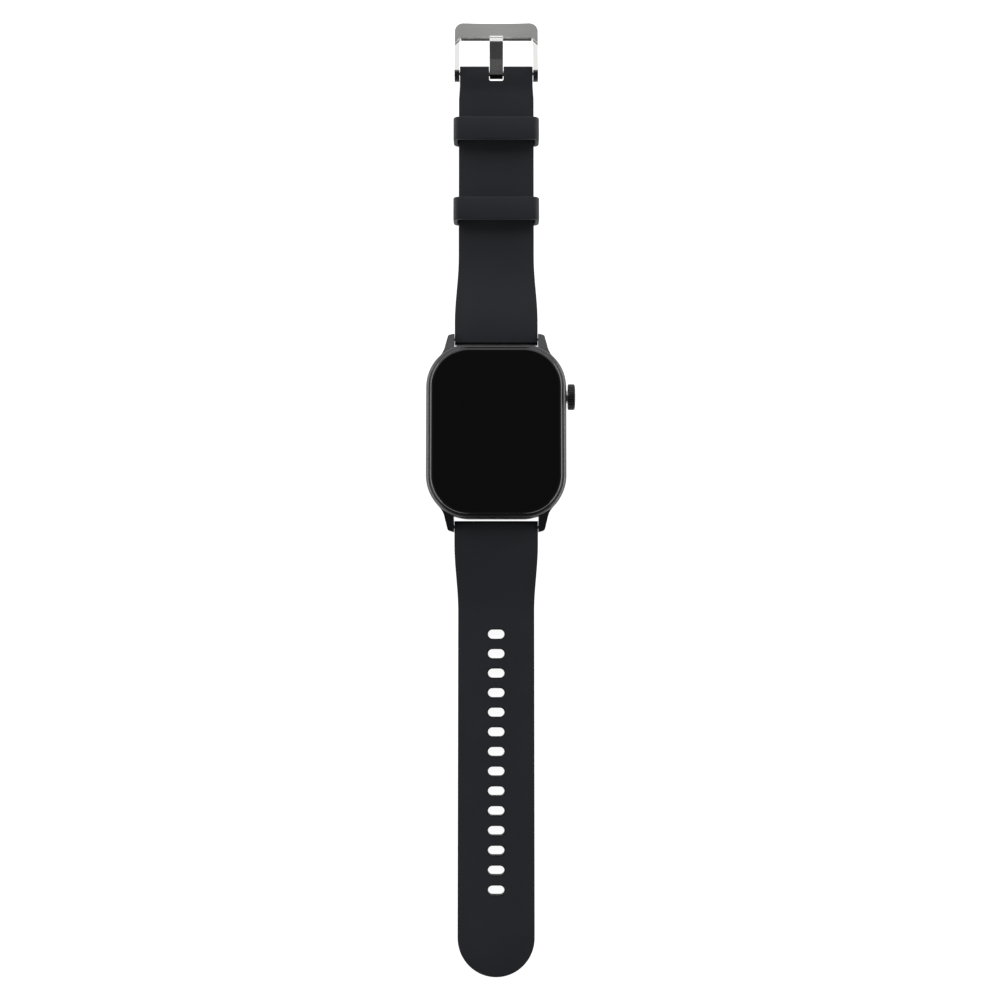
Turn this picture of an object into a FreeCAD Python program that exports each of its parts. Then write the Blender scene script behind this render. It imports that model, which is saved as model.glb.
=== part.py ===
import FreeCAD
import Part

import math
import os

V = FreeCAD.Vector

# A square-faced smartwatch laid open: case, crown, display and electronics, and a two-piece silicone strap
# with quick-release spring bars, a pin buckle and two sliding keepers.
# Millimetres. +X points to 3 o'clock (the crown), +Y to 12 o'clock (the buckle), +Z out of the display.
# The origin is the centre of the sensor window's outer face, which is what the watch rests on.

# ---------------------------------------------------------------- driving dimensions
CASE_W = 36.7  # across the case, X
CASE_L = 45.8  # along the case, Y
CASE_R = 11.3  # plan radius of the case corners
CASE_Z0 = 1.8  # underside of the middle case
CASE_Z1 = 9.6  # rim around the glass
RIM_ROUND = 1.5
HEEL_ROUND = 1.6

LUG_GAP = 22.2  # between the inner faces of a pair of lugs
LUG_TIP_Y = 26.25
BAR_Y = 25.0  # spring bar axis, from the case centre
BAR_Z = 3.6

STRAP_W = 21.9  # strap at the lugs
BAND_W = 20.0  # strap past its taper
STRAP_T = 2.4
STRAP_END_R = 1.7  # round end at the spring bar

CROWN_Y = 9.3
CROWN_Z = 5.4
CROWN_TRAVEL = 0.35

KEEPER_NEAR_BUCKLE_Y = 81.05
KEEPER_NEAR_CASE_Y = 59.45

BUCKLE_Y = 97.4  # buckle bar axis
BUCKLE_Z = 2.55
BUCKLE_DROP = 8.2  # degrees the buckle hangs below level, until its plate meets the table

RUN = 0.05  # radial running clearance of small pins

# ---------------------------------------------------------------- values worked out from those
CAVITY_W = CASE_W - 6.0
CAVITY_L = CASE_L - 6.0
CAVITY_R = CASE_R - 3.0
GLASS_GAP = 0.06
GLASS_W = CASE_W - 2.1
GLASS_L = CASE_L - 2.1
GLASS_R = CASE_R - 1.05
LEDGE_Z = 8.75  # shelf that carries the glass
GLUE_T = 0.15
GLASS_Z0 = LEDGE_Z + GLUE_T
GLASS_Z1 = 10.35
COVER_W = CASE_W - 4.7
COVER_L = CASE_L - 4.7
COVER_R = CASE_R - 2.35
COVER_Z0 = 1.0
COVER_SEAT_Z = 2.7
SENSOR_R = 10.0
BUMP_R = 12.4

HOLE_COUNT = 14
HOLE_PITCH = 5.1
HOLE_FIRST_Y = -53.0
HOLE_W = 4.3
HOLE_H = 2.4
TIP_Y = -141.4
LOWER_BENDS_Y = [-45.35 - 20.4 * i for i in range(5)]
UPPER_BENDS_Y = [37.0, 50.0]
UPPER_FLAT_Z = 1.35  # underside of the upper strap past the lugs
LOWER_FLAT_Y = -50.0  # where the lower strap lies flat
STRAP_STOP_Y = 99.15

PARTS = "parts"


# ---------------------------------------------------------------- shared shapes
def box(x, y, z):
    """A block from three (low, high) pairs."""
    return Part.makeBox(x[1] - x[0], y[1] - y[0], z[1] - z[0], V(x[0], y[0], z[0]))


def rod(radius, start, end):
    """A round bar between two points."""
    a, b = V(*start), V(*end)
    return Part.makeCylinder(radius, (b - a).Length, a, b - a)


def tube(outer, inner, start, end):
    return rod(outer, start, end).cut(rod(inner, start, end))


def arc(a, m, b):
    return Part.Arc(V(*a), V(*m), V(*b)).toShape()


def line(a, b):
    return Part.LineSegment(V(*a), V(*b)).toShape()


def bezier(*points):
    curve = Part.BezierCurve()
    curve.setPoles([V(*p) for p in points])
    return curve.toShape()


def plate(width, length, radius, z0, z1, x=0.0, y=0.0):
    """A slab with round corners in plan, centred on (x, y)."""
    slab = box((x - width / 2, x + width / 2), (y - length / 2, y + length / 2), (z0, z1))
    uprights = [e for e in slab.Edges if e.BoundBox.XLength < 1e-5 and e.BoundBox.YLength < 1e-5]
    return slab.makeFillet(radius, uprights)


def edges_at(shape, z):
    """The edges that lie in the plane at height z."""
    return [e for e in shape.Edges if abs(e.BoundBox.ZMin - z) < 1e-5 and abs(e.BoundBox.ZMax - z) < 1e-5]


def profile_x(edges, x0, x1):
    """A closed outline in the YZ plane at x0, pushed out to x1."""
    wire = Part.Wire(Part.__sortEdges__(edges))
    return Part.Face(wire).extrude(V(x1 - x0, 0, 0))


def fuse(first, *others):
    made = first.multiFuse([o for o in others])
    return made.removeSplitter()


def group(solids):
    return Part.makeCompound(solids)


def clean(shape):
    """Only the solids of a cut or common result."""
    return shape.Solids[0] if len(shape.Solids) == 1 else group(shape.Solids)


def save(name, shape):
    os.makedirs(PARTS, exist_ok=True)
    shape.exportStep(f"{PARTS}/{name}.step")
    volume = sum(s.Volume for s in shape.Solids)
    good = all(s.isValid() and s.isClosed() for s in shape.Solids)
    print(f"{name:28s} solids {len(shape.Solids):2d}  volume {volume:9.2f}  {'ok' if good else 'BAD'}")


# ---------------------------------------------------------------- middle case
def lug(sx, sy):
    """One lug: it leaves the case corner at its 45 degree point and narrows to a blunt tip."""
    corner_x, corner_y = CASE_W / 2 - CASE_R, CASE_L / 2 - CASE_R
    root = (corner_x + CASE_R * math.sqrt(0.5), corner_y + CASE_R * math.sqrt(0.5))
    waist = (13.4, 22.9)
    # the point half way round an arc that leaves root at 135 degrees and passes through waist
    chord = (waist[0] - root[0], waist[1] - root[1])
    turn = math.atan2(chord[1], chord[0]) - math.radians(135)
    sag = math.hypot(*chord) / 2 * math.tan(turn / 2)
    length = math.hypot(*chord)
    middle = (root[0] + chord[0] / 2 + chord[1] / length * sag, root[1] + chord[1] / 2 - chord[0] / length * sag)
    inner = LUG_GAP / 2

    def p(x, y):
        return (sx * x, sy * y, 0)

    plan = [
        arc(p(*root), p(*middle), p(*waist)),
        line(p(*waist), p(12.85, 25.2)),
        arc(p(12.85, 25.2), p(12.65, 25.7), p(12.2, 25.95)),
        line(p(12.2, 25.95), p(inner, LUG_TIP_Y)),
        line(p(inner, LUG_TIP_Y), p(inner, 17.0)),
        line(p(inner, 17.0), p(*root)),
    ]
    solid = Part.Face(Part.Wire(Part.__sortEdges__(plan))).extrude(V(0, 0, 10))

    def q(y, z):
        return (-20, sy * y, z)

    side = [
        line(q(16.0, 1.9), q(25.4, 1.9)),
        arc(q(25.4, 1.9), q(26.2, 2.2), q(26.6, 3.0)),
        line(q(26.6, 3.0), q(26.6, 4.2)),
        arc(q(26.6, 4.2), q(26.3, 5.1), q(25.5, 5.6)),
        bezier(q(25.5, 5.6), q(24.2, 6.2), q(23.0, 7.3), q(21.0, 7.7)),
        line(q(21.0, 7.7), q(16.0, 7.7)),
        line(q(16.0, 7.7), q(16.0, 1.9)),
    ]
    return clean(solid.common(profile_x(side, -20, 20)))


def case_frame():
    body = plate(CASE_W, CASE_L, CASE_R, CASE_Z0, CASE_Z1)
    body = body.makeFillet(RIM_ROUND, edges_at(body, CASE_Z1))
    body = body.makeFillet(HEEL_ROUND, edges_at(body, CASE_Z0))
    body = fuse(body, *[lug(sx, sy) for sx in (-1, 1) for sy in (-1, 1)])
    cuts = [
        plate(CAVITY_W, CAVITY_L, CAVITY_R, CASE_Z0 - 1, CASE_Z1 + 1),
        plate(GLASS_W + 2 * GLASS_GAP, GLASS_L + 2 * GLASS_GAP, GLASS_R + GLASS_GAP, LEDGE_Z, CASE_Z1 + 1),
        plate(COVER_W + 0.1, COVER_L + 0.1, COVER_R + 0.05, CASE_Z0 - 1, COVER_SEAT_Z),
    ]
    body = body.cut(group(cuts[:1])).cut(cuts[1]).cut(cuts[2])
    bosses = [rod(2.0, (sx * SCREW_X, sy * SCREW_Y, COVER_SEAT_Z), (sx * SCREW_X, sy * SCREW_Y, 5.4))
              for sx in (-1, 1) for sy in (-1, 1)]
    body = fuse(body, *bosses)
    reach = LUG_GAP / 2
    holes = [rod(TIP_R + RUN, (sx * (reach - 0.5), sy * BAR_Y, BAR_Z), (sx * (reach + 1.25), sy * BAR_Y, BAR_Z))
             for sx in (-1, 1) for sy in (-1, 1)]
    holes += [rod(SCREW_THREAD_R + 0.02, (sx * SCREW_X, sy * SCREW_Y, 0), (sx * SCREW_X, sy * SCREW_Y, 4.9))
              for sx in (-1, 1) for sy in (-1, 1)]
    holes.append(rod(CROWN_TUBE_R, (CAVITY_W / 2 - 1, CROWN_Y, CROWN_Z), (CASE_W / 2 + 1, CROWN_Y, CROWN_Z)))
    holes.append(rod(MIC_PORT_R, (CAVITY_W / 2 - 1, MIC_Y, MIC_Z), (CASE_W / 2 + 1, MIC_Y, MIC_Z)))
    holes += [speaker_slot(y) for y in SPEAKER_SLOTS_Y]
    return clean(body.cut(group(holes)))


# ---------------------------------------------------------------- openings in the case wall
SCREW_X = 12.6
SCREW_Y = 16.9
SCREW_THREAD_R = 0.6
SCREW_HEAD_R = 1.05
TIP_R = 0.5  # spring bar tips
CROWN_TUBE_R = 1.7
MIC_PORT_R = 0.45
MIC_Y = -8.0
MIC_Z = 5.2
SPEAKER_Y = -2.0
SPEAKER_Z = 4.0
SPEAKER_SLOTS_Y = [SPEAKER_Y + 2.6 * i for i in (-1, 0, 1)]


def speaker_slot(y):
    """A rounded slot through the left wall, in front of the speaker."""
    slot_l, slot_h = 1.9, 0.8
    half = slot_l / 2 - slot_h / 2
    x0, x1 = -CASE_W / 2 - 1, -CAVITY_W / 2 + 1
    ends = [rod(slot_h / 2, (x0, y + s * half, SPEAKER_Z), (x1, y + s * half, SPEAKER_Z)) for s in (-1, 1)]
    middle = box((x0, x1), (y - half, y + half), (SPEAKER_Z - slot_h / 2, SPEAKER_Z + slot_h / 2))
    return fuse(ends[0], ends[1], middle)


# ---------------------------------------------------------------- glass and display
def cover_glass():
    glass = plate(GLASS_W, GLASS_L, GLASS_R, GLASS_Z0, GLASS_Z1)
    return glass.makeFillet(0.95, edges_at(glass, GLASS_Z1))


def glass_seal():
    outer = plate(GLASS_W - 0.4, GLASS_L - 0.4, GLASS_R - 0.2, LEDGE_Z, GLASS_Z0)
    return outer.cut(plate(CAVITY_W + 0.4, CAVITY_L + 0.4, CAVITY_R + 0.2, LEDGE_Z - 1, GLASS_Z0 + 1))


DISPLAY_W = CAVITY_W - 1.2
DISPLAY_L = CAVITY_L - 1.2
DISPLAY_Z0 = 7.6


def display_panel():
    return plate(DISPLAY_W, DISPLAY_L, CAVITY_R - 0.6, DISPLAY_Z0, GLASS_Z0)


def display_cushion():
    outer = plate(DISPLAY_W - 1.0, DISPLAY_L - 1.0, CAVITY_R - 1.1, DISPLAY_Z0 - 0.3, DISPLAY_Z0)
    inner = plate(DISPLAY_W - 5.0, DISPLAY_L - 5.0, CAVITY_R - 3.1, DISPLAY_Z0 - 1, DISPLAY_Z0 + 1)
    ribbon_notch = box((-4.3, 4.3), (-20, -16), (DISPLAY_Z0 - 1, DISPLAY_Z0 + 1))
    return clean(outer.cut(inner).cut(ribbon_notch))


def display_flex():
    """The flat ribbon that runs from the panel's lower edge down to the board's connector."""
    t, half, y_out = 0.15, 4.0, -19.55
    top = DISPLAY_Z0 - 0.15
    bottom = BOARD_Z1 + 0.85
    strip = fuse(
        box((-half, half), (y_out, -14.5), (top, top + t)),
        box((-half, half), (y_out, y_out + t), (bottom - t, top + t)),
        box((-half, half), (y_out, -16.2), (bottom - t, bottom)),
    )
    return clean(strip)


# ---------------------------------------------------------------- chassis and electronics
BRACKET_Z = (6.75, 7.25)
BOARD_Z0, BOARD_Z1 = 5.65, 6.25
BATTERY = ((-10.2, 11.2), (-12.8, 9.8), (2.3, 5.3))
MOTOR_X, MOTOR_Y = -6.9, 14.4
MOTOR_R = 3.6
MOTOR_Z = (2.75, 5.25)
SWITCH_SIDE = 1.5  # half of the switch's square face


def board_bracket():
    """Moulded chassis between the display and the board, with a window over the tall components."""
    z0, z1 = BRACKET_Z
    frame = plate(CAVITY_W - 0.5, CAVITY_L - 0.5, CAVITY_R - 0.25, z0, z1)
    window = plate(18.0, 14.0, 1.5, z0 - 1, z1 + 1, -1.0, 3.0)
    ribbon_slot = box((-5.0, 5.0), (-20.5, -15.6), (z0 - 1, z1 + 1))
    crown_notch = box((11.2, 20.0), (CROWN_Y - 3.2, CROWN_Y + 3.2), (z0 - 1, z1 + 1))
    battery_slot = plate(14.0, 5.0, 1.0, z0 - 1, z1 + 1, 0.0, -9.5)
    posts = [rod(1.1, (x, y, BOARD_Z1), (x, y, z0)) for x, y in BOARD_SCREWS]
    made = fuse(frame.cut(group([window, ribbon_slot, battery_slot, crown_notch])), *posts)
    pilots = [rod(BOARD_SCREW_R + 0.02, (x, y, BOARD_Z1 - 1), (x, y, z1 - 0.1)) for x, y in BOARD_SCREWS]
    return clean(made.cut(group(pilots)))


BOARD_SCREWS = [(-11.5, 12.9), (9.6, 14.9), (-10.6, -14.6), (10.6, -14.6)]
BOARD_SCREW_R = 0.5


def main_board():
    board = plate(CAVITY_W - 1.4, CAVITY_L - 1.4, CAVITY_R - 0.7, BOARD_Z0, BOARD_Z1)
    cuts = [box((11.2, 20.0), (CROWN_Y - 3.2, CROWN_Y + 3.2), (5, 7))]
    cuts += [rod(BOARD_SCREW_R + 0.1, (x, y, 5), (x, y, 7)) for x, y in BOARD_SCREWS]
    cuts.append(box((-4.6, 4.6), (-21, -19.0), (5, 7)))
    return clean(board.cut(group(cuts)))


def board_screws():
    return group([
        fuse(
            rod(BOARD_SCREW_R, (x, y, BOARD_Z0 - 0.01), (x, y, 7.0)),
            rod(0.9, (x, y, BOARD_Z0 - 0.4), (x, y, BOARD_Z0)),
        )
        for x, y in BOARD_SCREWS
    ])


def chips():
    """The processor, memory and power chips on the board's upper side."""
    sizes = [(-5.0, 5.2, 6.0, 6.0), (2.0, 5.6, 4.4, 4.4), (-4.6, 0.0, 3.2, 3.2), (1.6, 0.6, 5.0, 3.2)]
    return group([box((x - w / 2, x + w / 2), (y - d / 2, y + d / 2), (BOARD_Z1, BOARD_Z1 + 0.7))
                  for x, y, w, d in sizes])


def shield_can():
    """Pressed cover over the radio section, on the board's underside beside the battery."""
    x, y, z = (-3.0, 8.0), (11.2, 18.2), (BOARD_Z0 - 1.3, BOARD_Z0)
    outer = box(x, y, z)
    inner = box((x[0] + 0.2, x[1] - 0.2), (y[0] + 0.2, y[1] - 0.2), (z[0] + 0.2, z[1] + 1))
    return outer.cut(inner)


def board_connectors():
    """The display connector and the battery and side-key connectors."""
    return group([
        box((-3.6, 3.6), (-18.0, -16.2), (BOARD_Z1, BOARD_Z1 + 0.7)),
        box((-2.2, 2.2), (-9.6, -8.0), (BOARD_Z1, BOARD_Z1 + 0.45)),
        box((8.6, 10.6), (5.0, 8.4), (BOARD_Z1, BOARD_Z1 + 0.4)),
    ])


def battery_cell():
    (x0, x1), (y0, y1), (z0, z1) = BATTERY
    cell = plate(x1 - x0, y1 - y0, 1.2, z0, z1, (x0 + x1) / 2, (y0 + y1) / 2)
    cell = cell.makeFillet(0.5, edges_at(cell, z1) + edges_at(cell, z0))
    return cell


def battery_lead():
    """The pouch cell's folded tab board, along its lower edge."""
    (x0, x1), (y0, y1), (z0, z1) = BATTERY
    return box((x0 + 4, x1 - 4), (y0 - 1.1, y0 - 0.02), (z1 - 1.0, z1 - 0.3))


def motor_can():
    """Coin vibration motor: a flat can, with its fixed shaft."""
    z0, z1 = MOTOR_Z
    can = rod(MOTOR_R, (MOTOR_X, MOTOR_Y, z0), (MOTOR_X, MOTOR_Y, z1))
    hollow = rod(MOTOR_R - 0.25, (MOTOR_X, MOTOR_Y, z0 + 0.25), (MOTOR_X, MOTOR_Y, z1 - 0.25))
    shaft = rod(0.4, (MOTOR_X, MOTOR_Y, z0 + 0.1), (MOTOR_X, MOTOR_Y, z1 - 0.1))
    return fuse(can.cut(hollow), shaft)


def motor_weight():
    """The half-disc that shakes the watch, on its bearing hub."""
    z0, z1 = MOTOR_Z[0] + 0.6, MOTOR_Z[1] - 0.6
    disc = tube(3.0, 0.4 + RUN, (MOTOR_X, MOTOR_Y, z0), (MOTOR_X, MOTOR_Y, z1))
    half = box((MOTOR_X - 5, MOTOR_X + 5), (MOTOR_Y, MOTOR_Y + 5), (z0 - 1, z1 + 1))
    hub = tube(0.95, 0.4 + RUN, (MOTOR_X, MOTOR_Y, z0 - 0.2), (MOTOR_X, MOTOR_Y, z1 + 0.2))
    return clean(fuse(disc.common(half), hub))


def speaker():
    x, y, z = (-14.1, -10.6), (SPEAKER_Y - 5.6, SPEAKER_Y + 5.6), (2.4, 5.4)
    body = box(x, y, z)
    body = body.makeFillet(0.5, [e for e in body.Edges if e.BoundBox.ZMax - e.BoundBox.ZMin > 1])
    snout_y = (SPEAKER_Y - 3.9, SPEAKER_Y + 3.9)
    snout = box((-15.1, x[0] + 0.1), snout_y, (SPEAKER_Z - 0.85, SPEAKER_Z + 0.85))
    mouth = box((-16.0, x[0] + 0.6), (snout_y[0] + 0.3, snout_y[1] - 0.3), (SPEAKER_Z - 0.55, SPEAKER_Z + 0.55))
    return clean(fuse(body, snout).cut(mouth))


def speaker_mesh():
    """Woven screen behind the slots, which keeps dust out of the speaker."""
    return box((-CAVITY_W / 2 + 0.02, -CAVITY_W / 2 + 0.22), (SPEAKER_Y - 3.9, SPEAKER_Y + 3.9),
               (SPEAKER_Z - 0.9, SPEAKER_Z + 0.9))


def microphone():
    x1 = CAVITY_W / 2 - 0.75
    return box((x1 - 2.6, x1), (MIC_Y - 1.7, MIC_Y + 1.7), (BOARD_Z0 - 0.95, BOARD_Z0))


# ---------------------------------------------------------------- crown and its switch
CROWN_R = 3.4
CAP_X0 = CASE_W / 2 + 0.5
CAP_X1 = CASE_W / 2 + 2.35
STEM_R = 0.75
STEM_X0 = 13.6
KNURLS = 36


def axis_x(x):
    return (x, CROWN_Y, CROWN_Z)


def crown_cap():
    """Knurled knob with a domed face, hollow on the inside to pass over the crown tube."""
    cap = rod(CROWN_R, axis_x(CAP_X0), axis_x(CAP_X1))
    outer_ring = [e for e in cap.Edges if abs(e.BoundBox.XMin - CAP_X1) < 1e-4 and abs(e.BoundBox.XMax - CAP_X1) < 1e-4]
    inner_ring = [e for e in cap.Edges if abs(e.BoundBox.XMin - CAP_X0) < 1e-4 and abs(e.BoundBox.XMax - CAP_X0) < 1e-4]
    cap = cap.makeFillet(0.45, outer_ring).makeFillet(0.25, inner_ring)
    grooves = []
    for i in range(KNURLS):
        a = 2 * math.pi * i / KNURLS
        y, z = CROWN_Y + (CROWN_R + 0.1) * math.cos(a), CROWN_Z + (CROWN_R + 0.1) * math.sin(a)
        grooves.append(rod(0.22, (CAP_X0 - 1, y, z), (CAP_X1 - 0.35, y, z)))
    recess = rod(CROWN_TUBE_R + 0.25, axis_x(CAP_X0 - 1), axis_x(CAP_X0 + 0.95))
    face_ring = tube(2.35, 2.1, axis_x(CAP_X1 - 0.12), axis_x(CAP_X1 + 1))
    socket = rod(STEM_R, axis_x(CAP_X0), axis_x(CAP_X0 + 1.3))
    return clean(cap.cut(group(grooves)).cut(recess).cut(face_ring).cut(socket))


def crown_stem():
    stem = rod(STEM_R, axis_x(STEM_X0), axis_x(CAP_X0 + 1.3))
    seal_groove = tube(1.2, STEM_R - 0.3, axis_x(SEAL_X - 0.3), axis_x(SEAL_X + 0.3))
    clip_groove = tube(1.2, STEM_R - 0.3, axis_x(CLIP_X[0]), axis_x(CLIP_X[1]))
    return clean(stem.cut(seal_groove).cut(clip_groove))


SEAL_X = 17.4
CLIP_X = (14.55, 14.85)


def crown_seal():
    """O-ring in the stem's groove."""
    return Part.makeTorus(STEM_R - 0.3 + 0.27, 0.26, V(*axis_x(SEAL_X)), V(1, 0, 0))


def crown_clip():
    """Open retaining clip that stops the stem being pulled out."""
    ring = tube(1.5, STEM_R - 0.28, axis_x(CLIP_X[0] + 0.03), axis_x(CLIP_X[1] - 0.03))
    mouth = box((CLIP_X[0] - 1, CLIP_X[1] + 1), (CROWN_Y - 0.4, CROWN_Y + 0.4), (CROWN_Z - 3, CROWN_Z))
    return clean(ring.cut(mouth))


def crown_tube():
    """Flanged bush pressed into the case wall, in which the stem slides and turns."""
    x_in, x_out = CAVITY_W / 2 - 0.35, CASE_W / 2 + 0.9
    body = fuse(
        rod(CROWN_TUBE_R, axis_x(CAVITY_W / 2), axis_x(x_out)),
        rod(CROWN_TUBE_R + 0.4, axis_x(x_in), axis_x(CAVITY_W / 2)),
    )
    bore = rod(STEM_R + RUN, axis_x(x_in - 1), axis_x(x_out + 1))
    seal_room = rod(1.05, axis_x(SEAL_X - 0.9), axis_x(x_out + 1))
    return clean(body.cut(bore).cut(seal_room))


SWITCH_X = (11.9, 13.1)


def side_switch():
    x0, x1 = SWITCH_X
    body = box((x0, x1), (CROWN_Y - SWITCH_SIDE, CROWN_Y + SWITCH_SIDE), (CROWN_Z - SWITCH_SIDE, CROWN_Z + SWITCH_SIDE))
    return body.cut(rod(0.75, axis_x(x0 + 0.3), axis_x(x1 + 1)))


def switch_plunger():
    """The key's moving button, which the stem's end pushes."""
    return fuse(
        rod(0.65, axis_x(SWITCH_X[0] + 0.3 + CROWN_TRAVEL + 0.1), axis_x(STEM_X0 - 0.02)),
        rod(0.7, axis_x(SWITCH_X[0] + 0.3 + CROWN_TRAVEL + 0.1), axis_x(SWITCH_X[0] + 0.95)),
    )


def switch_bracket():
    """Sheet-steel angle that backs the switch against the crown's push."""
    wall = box((SWITCH_X[0] - 0.55, SWITCH_X[0] - 0.2), (CROWN_Y - 2.6, CROWN_Y + 2.6), (3.0, 6.7))
    foot = box((SWITCH_X[0] - 0.55, SWITCH_X[0] + 2.2), (CROWN_Y - 2.6, CROWN_Y + 2.6), (2.75, 3.05))
    return fuse(wall, foot)


def switch_flex():
    return box((SWITCH_X[0] - 0.2, SWITCH_X[0]), (CROWN_Y - 2.2, CROWN_Y + 2.2), (CROWN_Z - 1.8, BRACKET_Z[0] - 0.05))


# ---------------------------------------------------------------- back of the case
CONTACT_X = 2.0
CONTACT_Y = -16.2
CONTACT_R = 1.0
MAGNET_X = 6.4


def back_cover():
    cover = plate(COVER_W, COVER_L, COVER_R, COVER_Z0, COVER_SEAT_Z)
    cover = cover.makeFillet(0.75, edges_at(cover, COVER_Z0))
    bump = rod(BUMP_R, (0, 0, 0.3), (0, 0, 1.5))
    bump = bump.makeFillet(0.55, edges_at(bump, 0.3))
    cover = fuse(cover, bump)
    pocket = plate(COVER_W - 3.4, COVER_L - 3.4, COVER_R - 1.7, 1.9, COVER_SEAT_Z + 1)
    cover = cover.cut(pocket)
    pads = [rod(2.8, (sx * SCREW_X, sy * SCREW_Y, 1.8), (sx * SCREW_X, sy * SCREW_Y, COVER_SEAT_Z))
            for sx in (-1, 1) for sy in (-1, 1)]
    inside = plate(COVER_W - 0.2, COVER_L - 0.2, COVER_R - 0.1, 1.0, COVER_SEAT_Z)
    cover = fuse(cover, *[p.common(inside) for p in pads])
    cuts = [
        rod(SENSOR_R + 0.04, (0, 0, -1), (0, 0, 1.1)),
        rod(SENSOR_R - 1.4, (0, 0, -1), (0, 0, 3)),
    ]
    for sx in (-1, 1):
        for sy in (-1, 1):
            cuts.append(rod(SCREW_HEAD_R + 0.08, (sx * SCREW_X, sy * SCREW_Y, 0), (sx * SCREW_X, sy * SCREW_Y, 1.75)))
            cuts.append(rod(SCREW_THREAD_R + 0.1, (sx * SCREW_X, sy * SCREW_Y, 0), (sx * SCREW_X, sy * SCREW_Y, 3)))
        cuts.append(rod(CONTACT_R + 0.02, (sx * CONTACT_X, CONTACT_Y, 0), (sx * CONTACT_X, CONTACT_Y, 3)))
        cuts.append(rod(1.8, (sx * MAGNET_X, CONTACT_Y, 1.5), (sx * MAGNET_X, CONTACT_Y, 3)))
    return clean(cover.cut(group(cuts)))


def back_seal():
    """Flat gasket between the cover's pocket wall and the case, on the cover's upper face."""
    w, d, r = CAVITY_W - 0.1, CAVITY_L - 0.1, CAVITY_R - 0.05
    ring = plate(w, d, r, COVER_SEAT_Z, COVER_SEAT_Z + 0.4)
    inside = ring
    ring = ring.cut(plate(w - 1.4, d - 1.4, r - 0.7, COVER_SEAT_Z - 1, COVER_SEAT_Z + 1))
    corners = [(sx * SCREW_X, sy * SCREW_Y) for sx in (-1, 1) for sy in (-1, 1)]
    loops = [rod(2.5, (x, y, COVER_SEAT_Z), (x, y, COVER_SEAT_Z + 0.4)).common(inside) for x, y in corners]
    bosses = [rod(2.05, (x, y, 2), (x, y, 4)) for x, y in corners]
    return clean(fuse(ring, *loops).cut(group(bosses)))


def back_screws():
    """Four pan-head screws with a six-lobe drive, flush in the cover."""
    made = []
    for sx in (-1, 1):
        for sy in (-1, 1):
            x, y = sx * SCREW_X, sy * SCREW_Y
            head = rod(SCREW_HEAD_R, (x, y, COVER_Z0 + 0.15), (x, y, 1.75))
            head = head.makeFillet(0.2, edges_at(head, COVER_Z0 + 0.15))
            lobes = [rod(0.2, (x + 0.34 * math.cos(k * math.pi / 3), y + 0.34 * math.sin(k * math.pi / 3), 0),
                         (x + 0.34 * math.cos(k * math.pi / 3), y + 0.34 * math.sin(k * math.pi / 3), 1.5))
                     for k in range(6)]
            lobes.append(rod(0.36, (x, y, 0), (x, y, 1.5)))
            shank = rod(SCREW_THREAD_R, (x, y, 1.7), (x, y, 4.6))
            made.append(clean(fuse(head, shank).cut(fuse(*lobes))))
    return group(made)


def sensor_window():
    """Dark glass disc over the pulse sensor, with a softened rim."""
    disc = rod(SENSOR_R, (0, 0, 0), (0, 0, 1.08))
    return disc.makeFillet(0.28, edges_at(disc, 0))


def sensor_board():
    return rod(SENSOR_R - 1.6, (0, 0, 1.52), (0, 0, 2.0))


def sensor_diodes():
    """Two green emitters, one red and infrared emitter, and two receivers, under the window."""
    sizes = [(0.0, 1.1, 1.6, 1.2), (0.0, -1.1, 1.6, 1.2), (0.0, 3.9, 1.6, 1.6), (-4.6, 0.0, 2.4, 3.0), (4.6, 0.0, 2.4, 3.0)]
    return group([box((x - w / 2, x + w / 2), (y - d / 2, y + d / 2), (1.16, 1.52)) for x, y, w, d in sizes])


def light_baffle():
    """Black ring that keeps the emitters' light from reaching the receivers directly."""
    ring = tube(7.9, 7.1, (0, 0, 1.16), (0, 0, 1.5))
    walls = [box((x - 0.3, x + 0.3), (-7.2, 7.2), (1.16, 1.5)) for x in (-2.3, 2.3)]
    return clean(fuse(ring, *[w.common(rod(7.5, (0, 0, 0), (0, 0, 3))) for w in walls]))


def charge_contacts():
    return group([
        fuse(
            rod(CONTACT_R, (sx * CONTACT_X, CONTACT_Y, COVER_Z0 - 0.05), (sx * CONTACT_X, CONTACT_Y, 1.9)),
            rod(CONTACT_R + 0.35, (sx * CONTACT_X, CONTACT_Y, 1.9), (sx * CONTACT_X, CONTACT_Y, 2.15)),
        )
        for sx in (-1, 1)
    ])


def charge_magnets():
    return group([rod(1.75, (sx * MAGNET_X, CONTACT_Y, 1.5), (sx * MAGNET_X, CONTACT_Y, 2.9)) for sx in (-1, 1)])


# ---------------------------------------------------------------- strap
def strap_half_width_edges(sy, end_y, end_half):
    """The right-hand edge of a strap half in plan, from its lug end through the taper, as drawing edges."""
    wide, band = STRAP_W / 2, BAND_W / 2
    neck = LUG_GAP / 2 - 0.25
    start = sy * (BAR_Y - STRAP_END_R)

    def p(x, y):
        return (x, y, -2)

    return [
        arc(p(neck - 0.8, start), p(neck - 0.22, start + sy * 0.3), p(neck, start + sy * 1.0)),
        line(p(neck, start + sy * 1.0), p(neck, sy * 26.4)),
        line(p(neck, sy * 26.4), p(wide, sy * 27.0)),
        line(p(wide, sy * 27.0), p(wide, sy * 29.5)),
        bezier(p(wide, sy * 29.5), p(wide, sy * 35.5), p(band, sy * 41.0), p(band, sy * 47.0)),
        line(p(band, sy * 47.0), p(end_half, end_y)),
    ]


def mirrored(edges):
    return [e.mirror(V(0, 0, 0), V(1, 0, 0)) for e in edges]


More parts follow.
